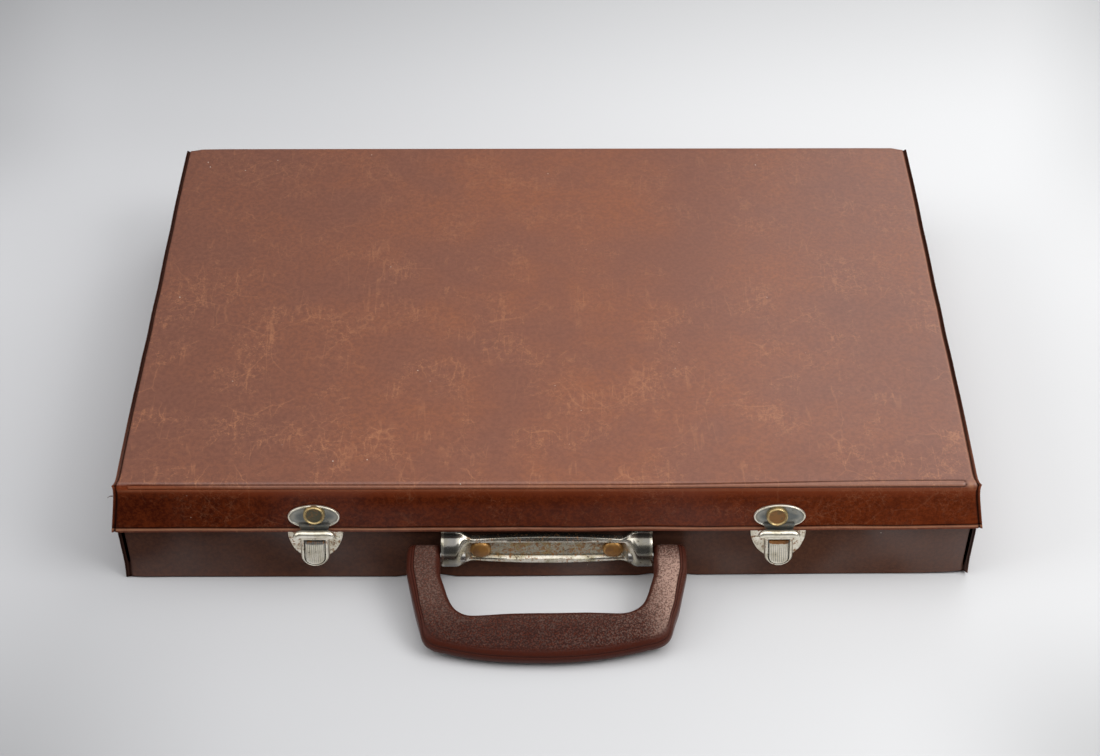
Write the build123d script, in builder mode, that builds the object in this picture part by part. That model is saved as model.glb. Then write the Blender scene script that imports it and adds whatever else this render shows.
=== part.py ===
from build123d import *
import math
import os

# A flat carrying case for a set of mahjong tiles: welded vinyl sheet over boards, a lid on a
# folded vinyl hinge, two tuck locks and a swinging handle. Millimetres, +Z up, +X to the right.
# The origin is the middle of the underside, the front faces -Y.

# ---------------------------------------------------------------- driving dimensions
CASE_WIDTH = 390.0  # over the welded edges that stand out at both sides
CASE_DEPTH = 262.0
CASE_HEIGHT = 57.6
SHEET = 0.8  # vinyl
BOARD = 2.2  # hardboard in the base and under the lid's top
SKIRT_BOARD = 2.0  # card in the lid's skirt
FIN = 2.0  # how far a welded edge stands out
BEND = 1.4  # radius in the middle of the vinyl where it folds round an edge
HEM_Z = 31.0  # lower edge of the lid's hem
SKIRT_BOARD_Z = 34.2  # lower edge of the boards in the lid's skirt
FRONT_FLARE = 3.3  # the skirt leans out towards its hem
SIDE_FLARE = 2.8
BASE_RIM_Z = 33.4  # the base's walls reach just inside the hem
BASE_FIN_Z = 30.4  # its welded edges stop below the hem
LINER = 1.6  # boards that stand up inside the base and steady the lid
LINER_RIM_Z = 48.0
BACK_LINER_RIM_Z = 36.0
FELT = 0.4

# Hinge: a folded strip of the vinyl between the two back walls
HINGE_Y = CASE_DEPTH / 2 + 0.6
HINGE_Z = 31.0
HINGE_FOLD = 1.4  # outer radius of the fold
HINGE_STRIP_LOW = 27.0
HINGE_STRIP_HIGH = 35.0
HINGE_GAP = 0.6  # from the axis to each back board

# Tile and stick trays
TILE_LENGTH = 28.0  # each tile tray holds one row of tiles, stacked two high
TRAY_WALL = 1.6
TRAY_PLAY = 0.6  # room round the tiles
TRAY_COUNT = 4
TRAY_GAP = 0.4
TRAY_HEIGHT = 38.0
TRAY_DEPTH = TILE_LENGTH + TRAY_PLAY + 2 * TRAY_WALL
STICK_TRAY_DEPTH = 120.0
STICK_WELLS = 4
TRAY_CORNER = 2.0
TRAY_END_PLAY = 1.2
FRONT_ROOM = 3.0  # clear of the rivet tails behind the front wall

# Locks, one at each side of the handle
LOCK_X = 106.3
LOCK_METAL = 0.8
LOCK_WIDTH = 13.2
LOCK_LOW = 10.9
LOCK_FRONT = -136.8
LOCK_TOP = 30.4
LOCK_PLATE_HALF = 12.8
LOCK_PLATE_TOP = 32.6
PLATE_SHOULDER_Z = 29.0
PLATE_WAIST = 11.4
PLATE_FOOT = 6.6
PLATE_FOOT_Z = 14.0
LIP_LENGTH = 17.8
LIP_RADIUS = 1.5
LIP_Y = -137.7
LIP_Z = 32.7
WINDOW_LOW = 12.1
WINDOW_HIGH = 28.4
WINDOW_HALF = 5.2
THUMB_HALF = 4.8
THUMB_LOW = 12.5
THUMB_HIGH = 26.6
THUMB_METAL = 0.9
RIB_COUNT = 8
RIB_PITCH = 1.12
RIB_WIDTH = 0.6
RIB_RISE = 0.3
RIB_LENGTH = 11.6
RIB_MIDDLE_Z = 19.9
TOOTH_HALF = 2.1
TOOTH_LOW = 23.4
TOOTH_HIGH = 25.2
TAIL_LOW = 13.8
TAIL_HIGH = 18.6
TAIL_BACK = -133.4
SPRING_METAL = 0.3
SPRING_HALF_WIDTH = 2.5
SPRING_LOW = 12.6
SPRING_HIGH = 19.8
SPRING_BOW = 0.85
TOOTH_DEPTH = 1.7  # reaches back into the tongue's window; raising the thumb piece draws it out

# Hasp on the lid's skirt
HASP_Z = 41.2
HASP_HALF_WIDTH = 11.9
HASP_HALF_HEIGHT = 6.5
HASP_METAL = 1.0
HASP_RIVET_Z = 41.8
HASP_RIM = 1.2
HASP_DISH = 0.35
NECK_TOP = 37.0
NECK_HALF = 7.4
NECK_LOW = 33.6
CATCH_HALF = 2.6  # the tongue's window
CATCH_LOW = 22.9
CATCH_HIGH = 27.7
TONGUE_HALF = 5.2
TONGUE_LOW = 21.6
TONGUE_BACK = -134.65
TONGUE_METAL = 0.9

# Handle and its bracket
PIVOT_Y = -136.5
PIVOT_Z = 17.5
HANDLE_TILT = 13.5  # degrees below the horizontal where the grip lies on the table
HANDLE_HALF_WIDTH = 64.5
HANDLE_REACH = 54.2  # from the pivot to the middle of the outer edge
HAND_HALF_WIDTH = 49.0  # between the arms, at the pivot
HAND_REACH = 32.6  # from the pivot to the middle of the hand opening's edge
ARM_ROUND = 5.0
GRIP_HALF_THICK = 6.2
GRIP_START = 26.0
GRIP_EDGE = 47.0
GRIP_BOW = 0.6  # of both long edges of the grip
ARM_CORNER = 1.0
ARM_SHOULDER = 10.0  # from the pivot to the widest part of each arm
ARM_STRAIGHT = 11.0  # from the pivot to where the hand opening starts to narrow
OUTER_CORNER = ((56.6, 44.5), (54.2, 49.2), (49.2, 51.6))  # across, and out from the pivot
HAND_CORNER = ((45.6, 23.0), (41.4, 31.2), (33.0, 34.2))
PIN_RADIUS = 2.5
PIN_INNER = 37.6
PIN_OUTER = 57.0
BRACKET_HALF = 48.6
LOBE_LENGTH = 13.0
LOBE_RADIUS = 9.5
BRACKET_METAL = 1.0
BRACKET_RIB = 3.0
BRACKET_WAIST = 39.0
RIB_CROWN = 8.0  # half the plate's height in the middle
RIB_EDGE = 6.7  # and at its ends
RIB_CHAMFER = 0.6
RECESS_HALF = 4.2
RECESS_DEPTH = 1.8
RECESS_ROUND = 5.1
BRACKET_FLANGE = 11.0
BRACKET_RIVET_X = 30.7
BACKING_HALF = 38.0
BACKING_HALF_HEIGHT = 6.0
RIVET_HEAD = 4.7  # radius of the large rivet heads
RIVET_SHANK = 1.8
RIVET_TAIL = 3.0
RIVET_TAIL_HEIGHT = 0.5
HEAD_TAPER = 0.86  # a head's flat top against its foot
HEAD_HEIGHT = 1.6
LOCK_PIN_HEAD = 1.2
LOCK_PIN_SHANK = 0.7
LOCK_PIN_X = 9.6  # from the lock's middle
LOCK_PIN_Z = 24.6
LOCK_PIN_RISE = 0.4
WASHER = 0.6

# ---------------------------------------------------------------- worked-out places
FRONT = -CASE_DEPTH / 2
BACK = CASE_DEPTH / 2
WALL_X = CASE_WIDTH / 2 - FIN
FLOOR_Z = SHEET + BOARD
FRONT_SLOPE = FRONT_FLARE / (CASE_HEIGHT - HEM_Z)
SIDE_SLOPE = SIDE_FLARE / (CASE_HEIGHT - HEM_Z)
SKIRT_ANGLE = math.atan(FRONT_SLOPE)
SKIRT_SHEET = SHEET / math.cos(SKIRT_ANGLE)  # the leaning sheet, measured along Y
SKIRT_GRIP = SHEET + SKIRT_BOARD * math.cos(SKIRT_ANGLE)
LINER_X = WALL_X - SHEET - BOARD
LINER_FRONT = FRONT + SHEET + BOARD
LINER_BACK = BACK - SHEET - BOARD
UNDER_TOP = CASE_HEIGHT - SHEET - BOARD
WRAP_MID_Z = CASE_HEIGHT - SHEET / 2
TRAY_Z = FLOOR_Z + FELT
TRAY_LENGTH = 2 * (LINER_X - LINER - TRAY_END_PLAY)
SIDES = ((-1, "left"), (1, "right"))
BRACKET_RIVETS = [(side * BRACKET_RIVET_X, PIVOT_Z) for side in (-1, 1)]
LOCK_PINS = [(a * LOCK_X + b * LOCK_PIN_X, LOCK_PIN_Z) for a in (-1, 1) for b in (-1, 1)]

os.makedirs("parts", exist_ok=True)


def write(piece, name):
    """Labels a finished piece and writes it under its own name."""
    piece.part.label = name
    export_step(piece.part, f"parts/{name}.step")


def skirt_front(z):
    """Y of the outside of the lid's front skirt at a height."""
    return FRONT - FRONT_SLOPE * (CASE_HEIGHT - z)


def skirt_side(z):
    """X of the outside of the lid's side skirt at a height."""
    return WALL_X + SIDE_SLOPE * (CASE_HEIGHT - z)


def side_strip(side, z_low, z_high, inset, thickness):
    """Corners, in XZ, of a sheet that follows a side skirt; side is -1 or 1."""
    low = skirt_side(z_low) - inset
    high = skirt_side(z_high) - inset
    corners = [(low, z_low), (high, z_high), (high - thickness, z_high), (low - thickness, z_low)]
    return [(side * x, z) for x, z in corners]


def front_strip(z_low, z_high, inset, thickness):
    """Corners, in YZ, of a sheet that follows the front skirt."""
    low = skirt_front(z_low) + inset
    high = skirt_front(z_high) + inset
    return [(low, z_low), (high, z_high), (high + thickness, z_high), (low + thickness, z_low)]


def box_between(low, high):
    """Adds a box given by two opposite corners to the part being built."""
    middle = [(a + b) / 2 for a, b in zip(low, high)]
    size = [b - a for a, b in zip(low, high)]
    with Locations(tuple(middle)):
        Box(*size)


def front_plane(x, y, z):
    """A plane square to Y that faces forward, with +X to its right."""
    return Plane((x, y, z), x_dir=(1, 0, 0), z_dir=(0, -1, 0))


def skirt_plane(x, z):
    """A plane on the outside of the lid's front skirt at a height."""
    normal = (0, -math.cos(SKIRT_ANGLE), math.sin(SKIRT_ANGLE))
    return Plane((x, skirt_front(z), z), x_dir=(1, 0, 0), z_dir=normal)


def drill(planes, radius):
    """Drills the part being built right through, square to each plane."""
    with Locations(*planes):
        Cylinder(radius, CASE_HEIGHT / 2, mode=Mode.SUBTRACT)


def drill_front(places, radius):
    """Drills the front wall's layers at places given as (x, z)."""
    drill([front_plane(x, FRONT, z) for x, z in places], radius)


def drill_skirt():
    """Drills the lid's skirt for the two hasp rivets."""
    drill([skirt_plane(side * LOCK_X, HASP_RIVET_Z) for side in (-1, 1)], RIVET_SHANK)


def rivet(plane, head, head_height, grip):
    """Adds a rivet: a low domed head on the plane, a shank behind it and a clinched tail."""
    with Locations(plane.offset(head_height / 2)):
        Cone(head, head * HEAD_TAPER, head_height)
    with Locations(plane.offset(-grip / 2)):
        Cylinder(RIVET_SHANK, grip)
    with Locations(plane.offset(-grip - RIVET_TAIL_HEIGHT / 2)):
        Cylinder(RIVET_TAIL, RIVET_TAIL_HEIGHT)


def plate(name, low, high):
    """Makes and writes a plain board or sheet from two opposite corners."""
    with BuildPart() as board:
        box_between(low, high)
    write(board, name)


# ---------------------------------------------------------------- base
# One sheet runs down the front, under the bottom and up the back. Its ends stand out as fins.
with BuildPart() as base_wrap:
    with BuildSketch(Plane.YZ):
        with BuildLine():
            FilletPolyline(
                (FRONT + SHEET / 2, BASE_RIM_Z),
                (FRONT + SHEET / 2, SHEET / 2),
                (BACK - SHEET / 2, SHEET / 2),
                (BACK - SHEET / 2, HINGE_STRIP_LOW),
                radius=BEND,
            )
        trace(line_width=SHEET)
    extrude(amount=CASE_WIDTH / 2, both=True)
    for side in (-1, 1):
        with Locations((side * (WALL_X + FIN), 0, BASE_FIN_Z + FIN * 2)):
            Box(2 * FIN, 2 * CASE_DEPTH, 4 * FIN, mode=Mode.SUBTRACT)
    drill_front(BRACKET_RIVETS, RIVET_SHANK)
    drill_front(LOCK_PINS, LOCK_PIN_SHANK)
write(base_wrap, "base_wrap")


for side, word in SIDES:
    with BuildPart() as base_side:
        with BuildSketch(Plane.YZ.offset(side * (WALL_X - SHEET / 2))):
            with Locations((0, (SHEET + BASE_RIM_Z) / 2)):
                Rectangle(CASE_DEPTH - 2 * SHEET, BASE_RIM_Z - SHEET)
            fillet(vertices().group_by(Axis.Y)[0], BEND - SHEET / 2)
        extrude(amount=SHEET / 2, both=True)
    write(base_side, f"base_side_{word}")

plate(
    "base_bottom_board",
    (-WALL_X + SHEET, FRONT + SHEET + BEND, SHEET),
    (WALL_X - SHEET, BACK - SHEET - BEND, FLOOR_Z),
)
plate(
    "base_back_board",
    (-LINER_X, LINER_BACK, FLOOR_Z),
    (LINER_X, BACK - SHEET, HINGE_Z - HINGE_GAP),
)
for side, word in SIDES:
    board_x = sorted((side * LINER_X, side * (WALL_X - SHEET)))
    plate(
        f"base_{word}_board",
        (board_x[0], FRONT + SHEET, FLOOR_Z),
        (board_x[1], BACK - SHEET, BASE_RIM_Z),
    )
    liner_x = sorted((side * (LINER_X - LINER), side * LINER_X))
    plate(
        f"liner_{word}",
        (liner_x[0], LINER_FRONT + LINER, FLOOR_Z),
        (liner_x[1], LINER_BACK - LINER, LINER_RIM_Z),
    )
plate(
    "liner_back",
    (-LINER_X, LINER_BACK - LINER, FLOOR_Z),
    (LINER_X, LINER_BACK, BACK_LINER_RIM_Z),
)
plate(
    "felt_lining",
    (-LINER_X + LINER, LINER_FRONT + LINER, FLOOR_Z),
    (LINER_X - LINER, LINER_BACK - LINER, TRAY_Z),
)

# The front wall carries the locks and the handle, so its layers are drilled for their rivets.
with BuildPart() as base_front_board:
    box_between((-LINER_X, FRONT + SHEET, FLOOR_Z), (LINER_X, LINER_FRONT, BASE_RIM_Z))
    drill_front(BRACKET_RIVETS, RIVET_SHANK)
    drill_front(LOCK_PINS, LOCK_PIN_SHANK)
write(base_front_board, "base_front_board")

with BuildPart() as liner_front:
    box_between((-LINER_X, LINER_FRONT, FLOOR_Z), (LINER_X, LINER_FRONT + LINER, LINER_RIM_Z))
    drill_front(BRACKET_RIVETS, RIVET_SHANK)
write(liner_front, "liner_front")

# ---------------------------------------------------------------- hinge strip
# The sheet between the two back walls bulges into an open fold about the hinge axis.
with BuildPart() as hinge_strip:
    with BuildSketch(Plane.YZ):
        for low, high in (
            (HINGE_STRIP_LOW, HINGE_Z - HINGE_GAP),
            (HINGE_Z + HINGE_GAP, HINGE_STRIP_HIGH),
        ):
            with Locations((BACK - SHEET / 2, (low + high) / 2)):
                Rectangle(SHEET, high - low)
        with Locations((HINGE_Y, HINGE_Z)):
            Circle(HINGE_FOLD)
            Circle(HINGE_FOLD - SHEET, mode=Mode.SUBTRACT)
            Rectangle(
                2 * HINGE_FOLD,
                HINGE_GAP,
                align=(Align.MAX, Align.CENTER),
                mode=Mode.SUBTRACT,
            )
    extrude(amount=WALL_X, both=True)
write(hinge_strip, "hinge_strip")

# ---------------------------------------------------------------- trays
def tray(name, y_low, depth, wells):
    """Makes an open plastic tray with a row of equal wells along its length."""
    y_middle = y_low + depth / 2
    well_length = (TRAY_LENGTH - TRAY_WALL) / wells - TRAY_WALL
    standing = (Align.CENTER, Align.CENTER, Align.MIN)
    with BuildPart() as box:
        with Locations((0, y_middle, TRAY_Z)):
            Box(TRAY_LENGTH, depth, TRAY_HEIGHT, align=standing)
        fillet(box.edges().filter_by(Axis.Z), TRAY_CORNER)
        with Locations((0, y_middle, TRAY_Z + TRAY_WALL)):
            with GridLocations(well_length + TRAY_WALL, 0, wells, 1):
                Box(
                    well_length,
                    depth - 2 * TRAY_WALL,
                    TRAY_HEIGHT,
                    align=standing,
                    mode=Mode.SUBTRACT,
                )
    write(box, name)


TRAY_FRONT = LINER_FRONT + LINER + FRONT_ROOM
for row in range(TRAY_COUNT):
    tray(f"tile_tray_{row + 1}", TRAY_FRONT + row * (TRAY_DEPTH + TRAY_GAP), TRAY_DEPTH, 1)
tray("stick_tray", TRAY_FRONT + TRAY_COUNT * (TRAY_DEPTH + TRAY_GAP), STICK_TRAY_DEPTH, STICK_WELLS)

# ---------------------------------------------------------------- lid
# One sheet again: front skirt, top and back wall. Its ends stand out past the side skirts.
with BuildPart() as lid_wrap:
    with BuildSketch(Plane.YZ):
        with BuildLine():
            FilletPolyline(
                (skirt_front(HEM_Z) + SKIRT_SHEET / 2, HEM_Z),
                (skirt_front(WRAP_MID_Z) + SKIRT_SHEET / 2, WRAP_MID_Z),
                (BACK - SHEET / 2, WRAP_MID_Z),
                (BACK - SHEET / 2, HINGE_STRIP_HIGH),
                radius=BEND,
            )
        trace(line_width=SHEET)
    extrude(amount=CASE_WIDTH, both=True)
    with BuildSketch(Plane.XZ):
        with BuildLine():
            Polyline(
                (-skirt_side(HEM_Z) - FIN, HEM_Z - SHEET),
                (skirt_side(HEM_Z) + FIN, HEM_Z - SHEET),
                (skirt_side(CASE_HEIGHT) + FIN, CASE_HEIGHT),
                (-skirt_side(CASE_HEIGHT) - FIN, CASE_HEIGHT),
                close=True,
            )
        make_face()
    extrude(amount=CASE_DEPTH, both=True, mode=Mode.INTERSECT)
    drill_skirt()
write(lid_wrap, "lid_wrap")

for side, word in SIDES:
    # The vinyl side skirt ends inside the wrap, so its front edge leans with the front skirt.
    with BuildPart() as lid_side:
        with BuildSketch(Plane.XZ):
            with BuildLine():
                Polyline(*side_strip(side, HEM_Z, CASE_HEIGHT - SHEET, 0, SHEET), close=True)
            make_face()
        extrude(amount=CASE_DEPTH, both=True)
        with BuildSketch(Plane.YZ):
            with BuildLine():
                Polyline(
                    (skirt_front(HEM_Z) + 2 * SHEET, HEM_Z),
                    (skirt_front(CASE_HEIGHT) + 2 * SHEET, CASE_HEIGHT - SHEET),
                    (BACK - SHEET, CASE_HEIGHT - SHEET),
                    (BACK - SHEET, HEM_Z),
                    close=True,
                )
            make_face()
            fillet(vertices().group_by(Axis.Y)[-1], BEND)
        extrude(amount=CASE_WIDTH, both=True, mode=Mode.INTERSECT)
    write(lid_side, f"lid_side_{word}")

    with BuildPart() as lid_side_board:
        with BuildSketch(Plane.XZ.offset(-LINER_BACK)):
            with BuildLine():
                Polyline(
                    *side_strip(side, SKIRT_BOARD_Z, UNDER_TOP, SHEET, SKIRT_BOARD), close=True
                )
            make_face()
        extrude(amount=LINER_BACK - LINER_FRONT)
    write(lid_side_board, f"lid_{word}_board")

with BuildPart() as lid_front_board:
    with BuildSketch(Plane.YZ):
        with BuildLine():
            Polyline(
                *front_strip(SKIRT_BOARD_Z, UNDER_TOP, SKIRT_SHEET, SKIRT_BOARD), close=True
            )
        make_face()
    extrude(amount=WALL_X - SHEET, both=True)
    drill_skirt()
write(lid_front_board, "lid_front_board")

plate(
    "lid_top_board",
    (-WALL_X + SHEET, FRONT + SHEET + BEND, UNDER_TOP),
    (WALL_X - SHEET, BACK - SHEET - BEND, CASE_HEIGHT - SHEET),
)
plate(
    "lid_back_board",
    (-LINER_X + FELT, LINER_BACK + FELT, HINGE_Z + HINGE_GAP),
    (LINER_X - FELT, BACK - SHEET, UNDER_TOP),
)
plate(
    "lid_lining",
    (-LINER_X, LINER_FRONT, UNDER_TOP - FELT),
    (LINER_X, LINER_BACK, UNDER_TOP),
)

# ---------------------------------------------------------------- locks and hasps
def upright_u(half, low, high):
    """A sketch of a U: a half round of radius half at the bottom and straight sides."""
    with BuildSketch(mode=Mode.PRIVATE) as u:
        with Locations((0, low + half)):
            Circle(half)
        with Locations((0, (low + half + high) / 2)):
            Rectangle(2 * half, high - low - half)
    return u.sketch


for side, word in SIDES:
    x = side * LOCK_X

    # Back plate: two wings that narrow downwards, with a hole for a pin in each
    with BuildPart() as lock_plate:
        with BuildSketch(front_plane(x, FRONT, 0)):
            with BuildLine():
                Line((0, LOCK_PLATE_TOP), (LOCK_PLATE_HALF, LOCK_PLATE_TOP))
                Line((LOCK_PLATE_HALF, LOCK_PLATE_TOP), (LOCK_PLATE_HALF, PLATE_SHOULDER_Z))
                ThreePointArc(
                    (LOCK_PLATE_HALF, PLATE_SHOULDER_Z),
                    (PLATE_WAIST, (PLATE_SHOULDER_Z + PLATE_FOOT_Z) / 2),
                    (PLATE_FOOT, PLATE_FOOT_Z),
                )
                Line((PLATE_FOOT, PLATE_FOOT_Z), (0, PLATE_FOOT_Z))
                mirror(about=Plane.YZ)
            make_face()
        extrude(amount=LOCK_METAL)
        drill_front([(x + a * LOCK_PIN_X, LOCK_PIN_Z) for a in (-1, 1)], LOCK_PIN_SHANK)
    write(lock_plate, f"lock_plate_{word}")

    # Housing: a U-shaped box with a window in its front and a rolled lip over its mouth
    with BuildPart() as lock_housing:
        with BuildSketch(front_plane(x, FRONT - LOCK_METAL, 0)):
            add(upright_u(LOCK_WIDTH / 2, LOCK_LOW, LOCK_TOP))
        extrude(amount=FRONT - LOCK_METAL - LOCK_FRONT)
        with BuildSketch(front_plane(x, FRONT - LOCK_METAL, 0)):
            add(upright_u(LOCK_WIDTH / 2 - LOCK_METAL, LOCK_LOW + LOCK_METAL, LOCK_PLATE_TOP))
        extrude(amount=FRONT - 2 * LOCK_METAL - LOCK_FRONT, mode=Mode.SUBTRACT)
        with BuildSketch(front_plane(x, LOCK_FRONT, 0)):
            add(upright_u(WINDOW_HALF, WINDOW_LOW, WINDOW_HIGH))
        extrude(amount=LOCK_METAL, both=True, mode=Mode.SUBTRACT)
        box_between(
            (x - LOCK_WIDTH / 2, LIP_Y, WINDOW_HIGH + LOCK_METAL),
            (x + LOCK_WIDTH / 2, LIP_Y + LIP_RADIUS, LIP_Z),
        )
        with Locations((x, LIP_Y, LIP_Z)):
            Cylinder(LIP_RADIUS, LIP_LENGTH, rotation=(0, 90, 0))
    write(lock_housing, f"lock_housing_{word}")

    with BuildPart() as lock_spring:
        with BuildSketch(Plane.YZ.offset(x)):
            with BuildLine():
                ThreePointArc(
                    (FRONT - LOCK_METAL - SPRING_METAL / 2, SPRING_LOW),
                    (
                        FRONT - LOCK_METAL - SPRING_METAL / 2 - SPRING_BOW,
                        (SPRING_LOW + SPRING_HIGH) / 2,
                    ),
                    (FRONT - LOCK_METAL - SPRING_METAL / 2, SPRING_HIGH),
                )
            trace(line_width=SPRING_METAL)
        extrude(amount=SPRING_HALF_WIDTH, both=True)
    write(lock_spring, f"lock_spring_{word}")

    with BuildPart() as lock_pins:
        for a in (-1, 1):
            face = front_plane(x + a * LOCK_PIN_X, FRONT - LOCK_METAL, LOCK_PIN_Z)
            with Locations(face.offset(LOCK_PIN_RISE / 2)):
                Cylinder(LOCK_PIN_HEAD, LOCK_PIN_RISE)
            with Locations(face.offset(-(LOCK_METAL + SHEET + BOARD) / 2)):
                Cylinder(LOCK_PIN_SHANK, LOCK_METAL + SHEET + BOARD)
    write(lock_pins, f"lock_pins_{word}")

    # Thumb piece: a ribbed plate in the window, with a tooth and a tail behind it
    with BuildPart() as thumb_slide:
        with BuildSketch(front_plane(x, LOCK_FRONT + LOCK_METAL, 0)):
            add(upright_u(THUMB_HALF, THUMB_LOW, THUMB_HIGH))
        extrude(amount=THUMB_METAL)
        with Locations((x, LOCK_FRONT + LOCK_METAL - THUMB_METAL, RIB_MIDDLE_Z)):
            with GridLocations(RIB_PITCH, 0, RIB_COUNT, 1):
                Box(RIB_WIDTH, 2 * RIB_RISE, RIB_LENGTH)
        box_between(
            (x - TOOTH_HALF, LOCK_FRONT + LOCK_METAL, TOOTH_LOW),
            (x + TOOTH_HALF, LOCK_FRONT + LOCK_METAL + TOOTH_DEPTH, TOOTH_HIGH),
        )
        box_between(
            (x - TOOTH_HALF, LOCK_FRONT + LOCK_METAL, TAIL_LOW),
            (x + TOOTH_HALF, TAIL_BACK, TAIL_HIGH),
        )
    write(thumb_slide, f"thumb_slide_{word}")

    # Hasp: a dished oval on the skirt and a tongue with a window that drops into the lock
    with BuildPart() as hasp_plate:
        with BuildSketch(skirt_plane(x, HASP_Z)):
            Ellipse(HASP_HALF_WIDTH, HASP_HALF_HEIGHT)
        extrude(amount=HASP_METAL)
        with BuildSketch(skirt_plane(x, HASP_Z).offset(HASP_METAL)):
            Ellipse(HASP_HALF_WIDTH - HASP_RIM, HASP_HALF_HEIGHT - HASP_RIM)
        extrude(amount=-HASP_DISH, mode=Mode.SUBTRACT)
        with BuildSketch(front_plane(x, TONGUE_BACK, 0)):
            with BuildLine():
                Polyline(
                    (0, NECK_TOP),
                    (NECK_HALF, NECK_TOP),
                    (NECK_HALF, NECK_LOW),
                    (TONGUE_HALF, NECK_LOW - NECK_HALF + TONGUE_HALF),
                    (TONGUE_HALF, TONGUE_LOW),
                    (0, TONGUE_LOW),
                )
                mirror(about=Plane.YZ)
            make_face()
            with Locations((0, (CATCH_LOW + CATCH_HIGH) / 2)):
                Rectangle(2 * CATCH_HALF, CATCH_HIGH - CATCH_LOW, mode=Mode.SUBTRACT)
        extrude(amount=TONGUE_METAL)
        drill([skirt_plane(x, HASP_RIVET_Z)], RIVET_SHANK)
    write(hasp_plate, f"hasp_plate_{word}")

    behind_board = skirt_plane(x, HASP_RIVET_Z).offset(-SKIRT_GRIP)
    with BuildPart() as hasp_washer:
        with Locations(behind_board.offset(-WASHER / 2)):
            Cylinder(RIVET_HEAD, WASHER)
            Cylinder(RIVET_SHANK, 2 * WASHER, mode=Mode.SUBTRACT)
    write(hasp_washer, f"hasp_washer_{word}")

    with BuildPart() as hasp_rivet:
        rivet(
            skirt_plane(x, HASP_RIVET_Z).offset(HASP_METAL - HASP_DISH),
            RIVET_HEAD,
            HEAD_HEIGHT,
            HASP_METAL - HASP_DISH + SKIRT_GRIP + WASHER,
        )
    write(hasp_rivet, f"hasp_rivet_{word}")

# ---------------------------------------------------------------- handle and bracket
# Bracket: a pressed plate with a rib along each edge, and a half-round tunnel at each end
with BuildPart() as handle_bracket:
    with BuildSketch(front_plane(0, FRONT, 0)):
        with BuildLine():
            ThreePointArc(
                (-BRACKET_WAIST, PIVOT_Z + RIB_EDGE),
                (0, PIVOT_Z + RIB_CROWN),
                (BRACKET_WAIST, PIVOT_Z + RIB_EDGE),
            )
            Line((BRACKET_WAIST, PIVOT_Z + RIB_EDGE), (BRACKET_WAIST, PIVOT_Z - RIB_EDGE))
            ThreePointArc(
                (BRACKET_WAIST, PIVOT_Z - RIB_EDGE),
                (0, PIVOT_Z - RIB_CROWN),
                (-BRACKET_WAIST, PIVOT_Z - RIB_EDGE),
            )
            Line((-BRACKET_WAIST, PIVOT_Z - RIB_EDGE), (-BRACKET_WAIST, PIVOT_Z + RIB_EDGE))
        make_face()
    extrude(amount=BRACKET_RIB)
    with BuildSketch(front_plane(0, FRONT - BRACKET_RIB, 0)):
        with Locations((0, PIVOT_Z)):
            Rectangle(2 * BRACKET_RIVET_X, 2 * RECESS_HALF)
        with Locations(*BRACKET_RIVETS):
            Circle(RECESS_ROUND)
    extrude(amount=-RECESS_DEPTH, mode=Mode.SUBTRACT)
    chamfer(faces().sort_by(Axis.Y)[0].edges(), RIB_CHAMFER)
    for side in (-1, 1):
        lobe_inner = BRACKET_HALF - LOBE_LENGTH
        start = Plane.YZ.offset(side * lobe_inner)
        with BuildSketch(start):
            with Locations((FRONT, PIVOT_Z)):
                Circle(LOBE_RADIUS)
                Rectangle(2 * BRACKET_METAL, 2 * BRACKET_FLANGE)
                Rectangle(
                    LOBE_RADIUS,
                    2 * BRACKET_FLANGE,
                    align=(Align.MIN, Align.CENTER),
                    mode=Mode.SUBTRACT,
                )
        extrude(amount=side * LOBE_LENGTH)
        with BuildSketch(start.offset(side * BRACKET_METAL)):
            with Locations((FRONT, PIVOT_Z)):
                Circle(LOBE_RADIUS - BRACKET_METAL)
        extrude(amount=side * LOBE_LENGTH, mode=Mode.SUBTRACT)
    drill_front(BRACKET_RIVETS, RIVET_SHANK)
write(handle_bracket, "handle_bracket")

BACKING_Y = LINER_FRONT + LINER
with BuildPart() as backing_plate:
    box_between(
        (-BACKING_HALF, BACKING_Y, PIVOT_Z - BACKING_HALF_HEIGHT),
        (BACKING_HALF, BACKING_Y + WASHER, PIVOT_Z + BACKING_HALF_HEIGHT),
    )
    drill_front(BRACKET_RIVETS, RIVET_SHANK)
write(backing_plate, "backing_plate")

with BuildPart() as bracket_rivets:
    bracket_face = FRONT - BRACKET_RIB + RECESS_DEPTH
    for x, z in BRACKET_RIVETS:
        grip = BACKING_Y + WASHER - bracket_face
        rivet(front_plane(x, bracket_face, z), RIVET_HEAD, HEAD_HEIGHT, grip)
write(bracket_rivets, "bracket_rivets")

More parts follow.
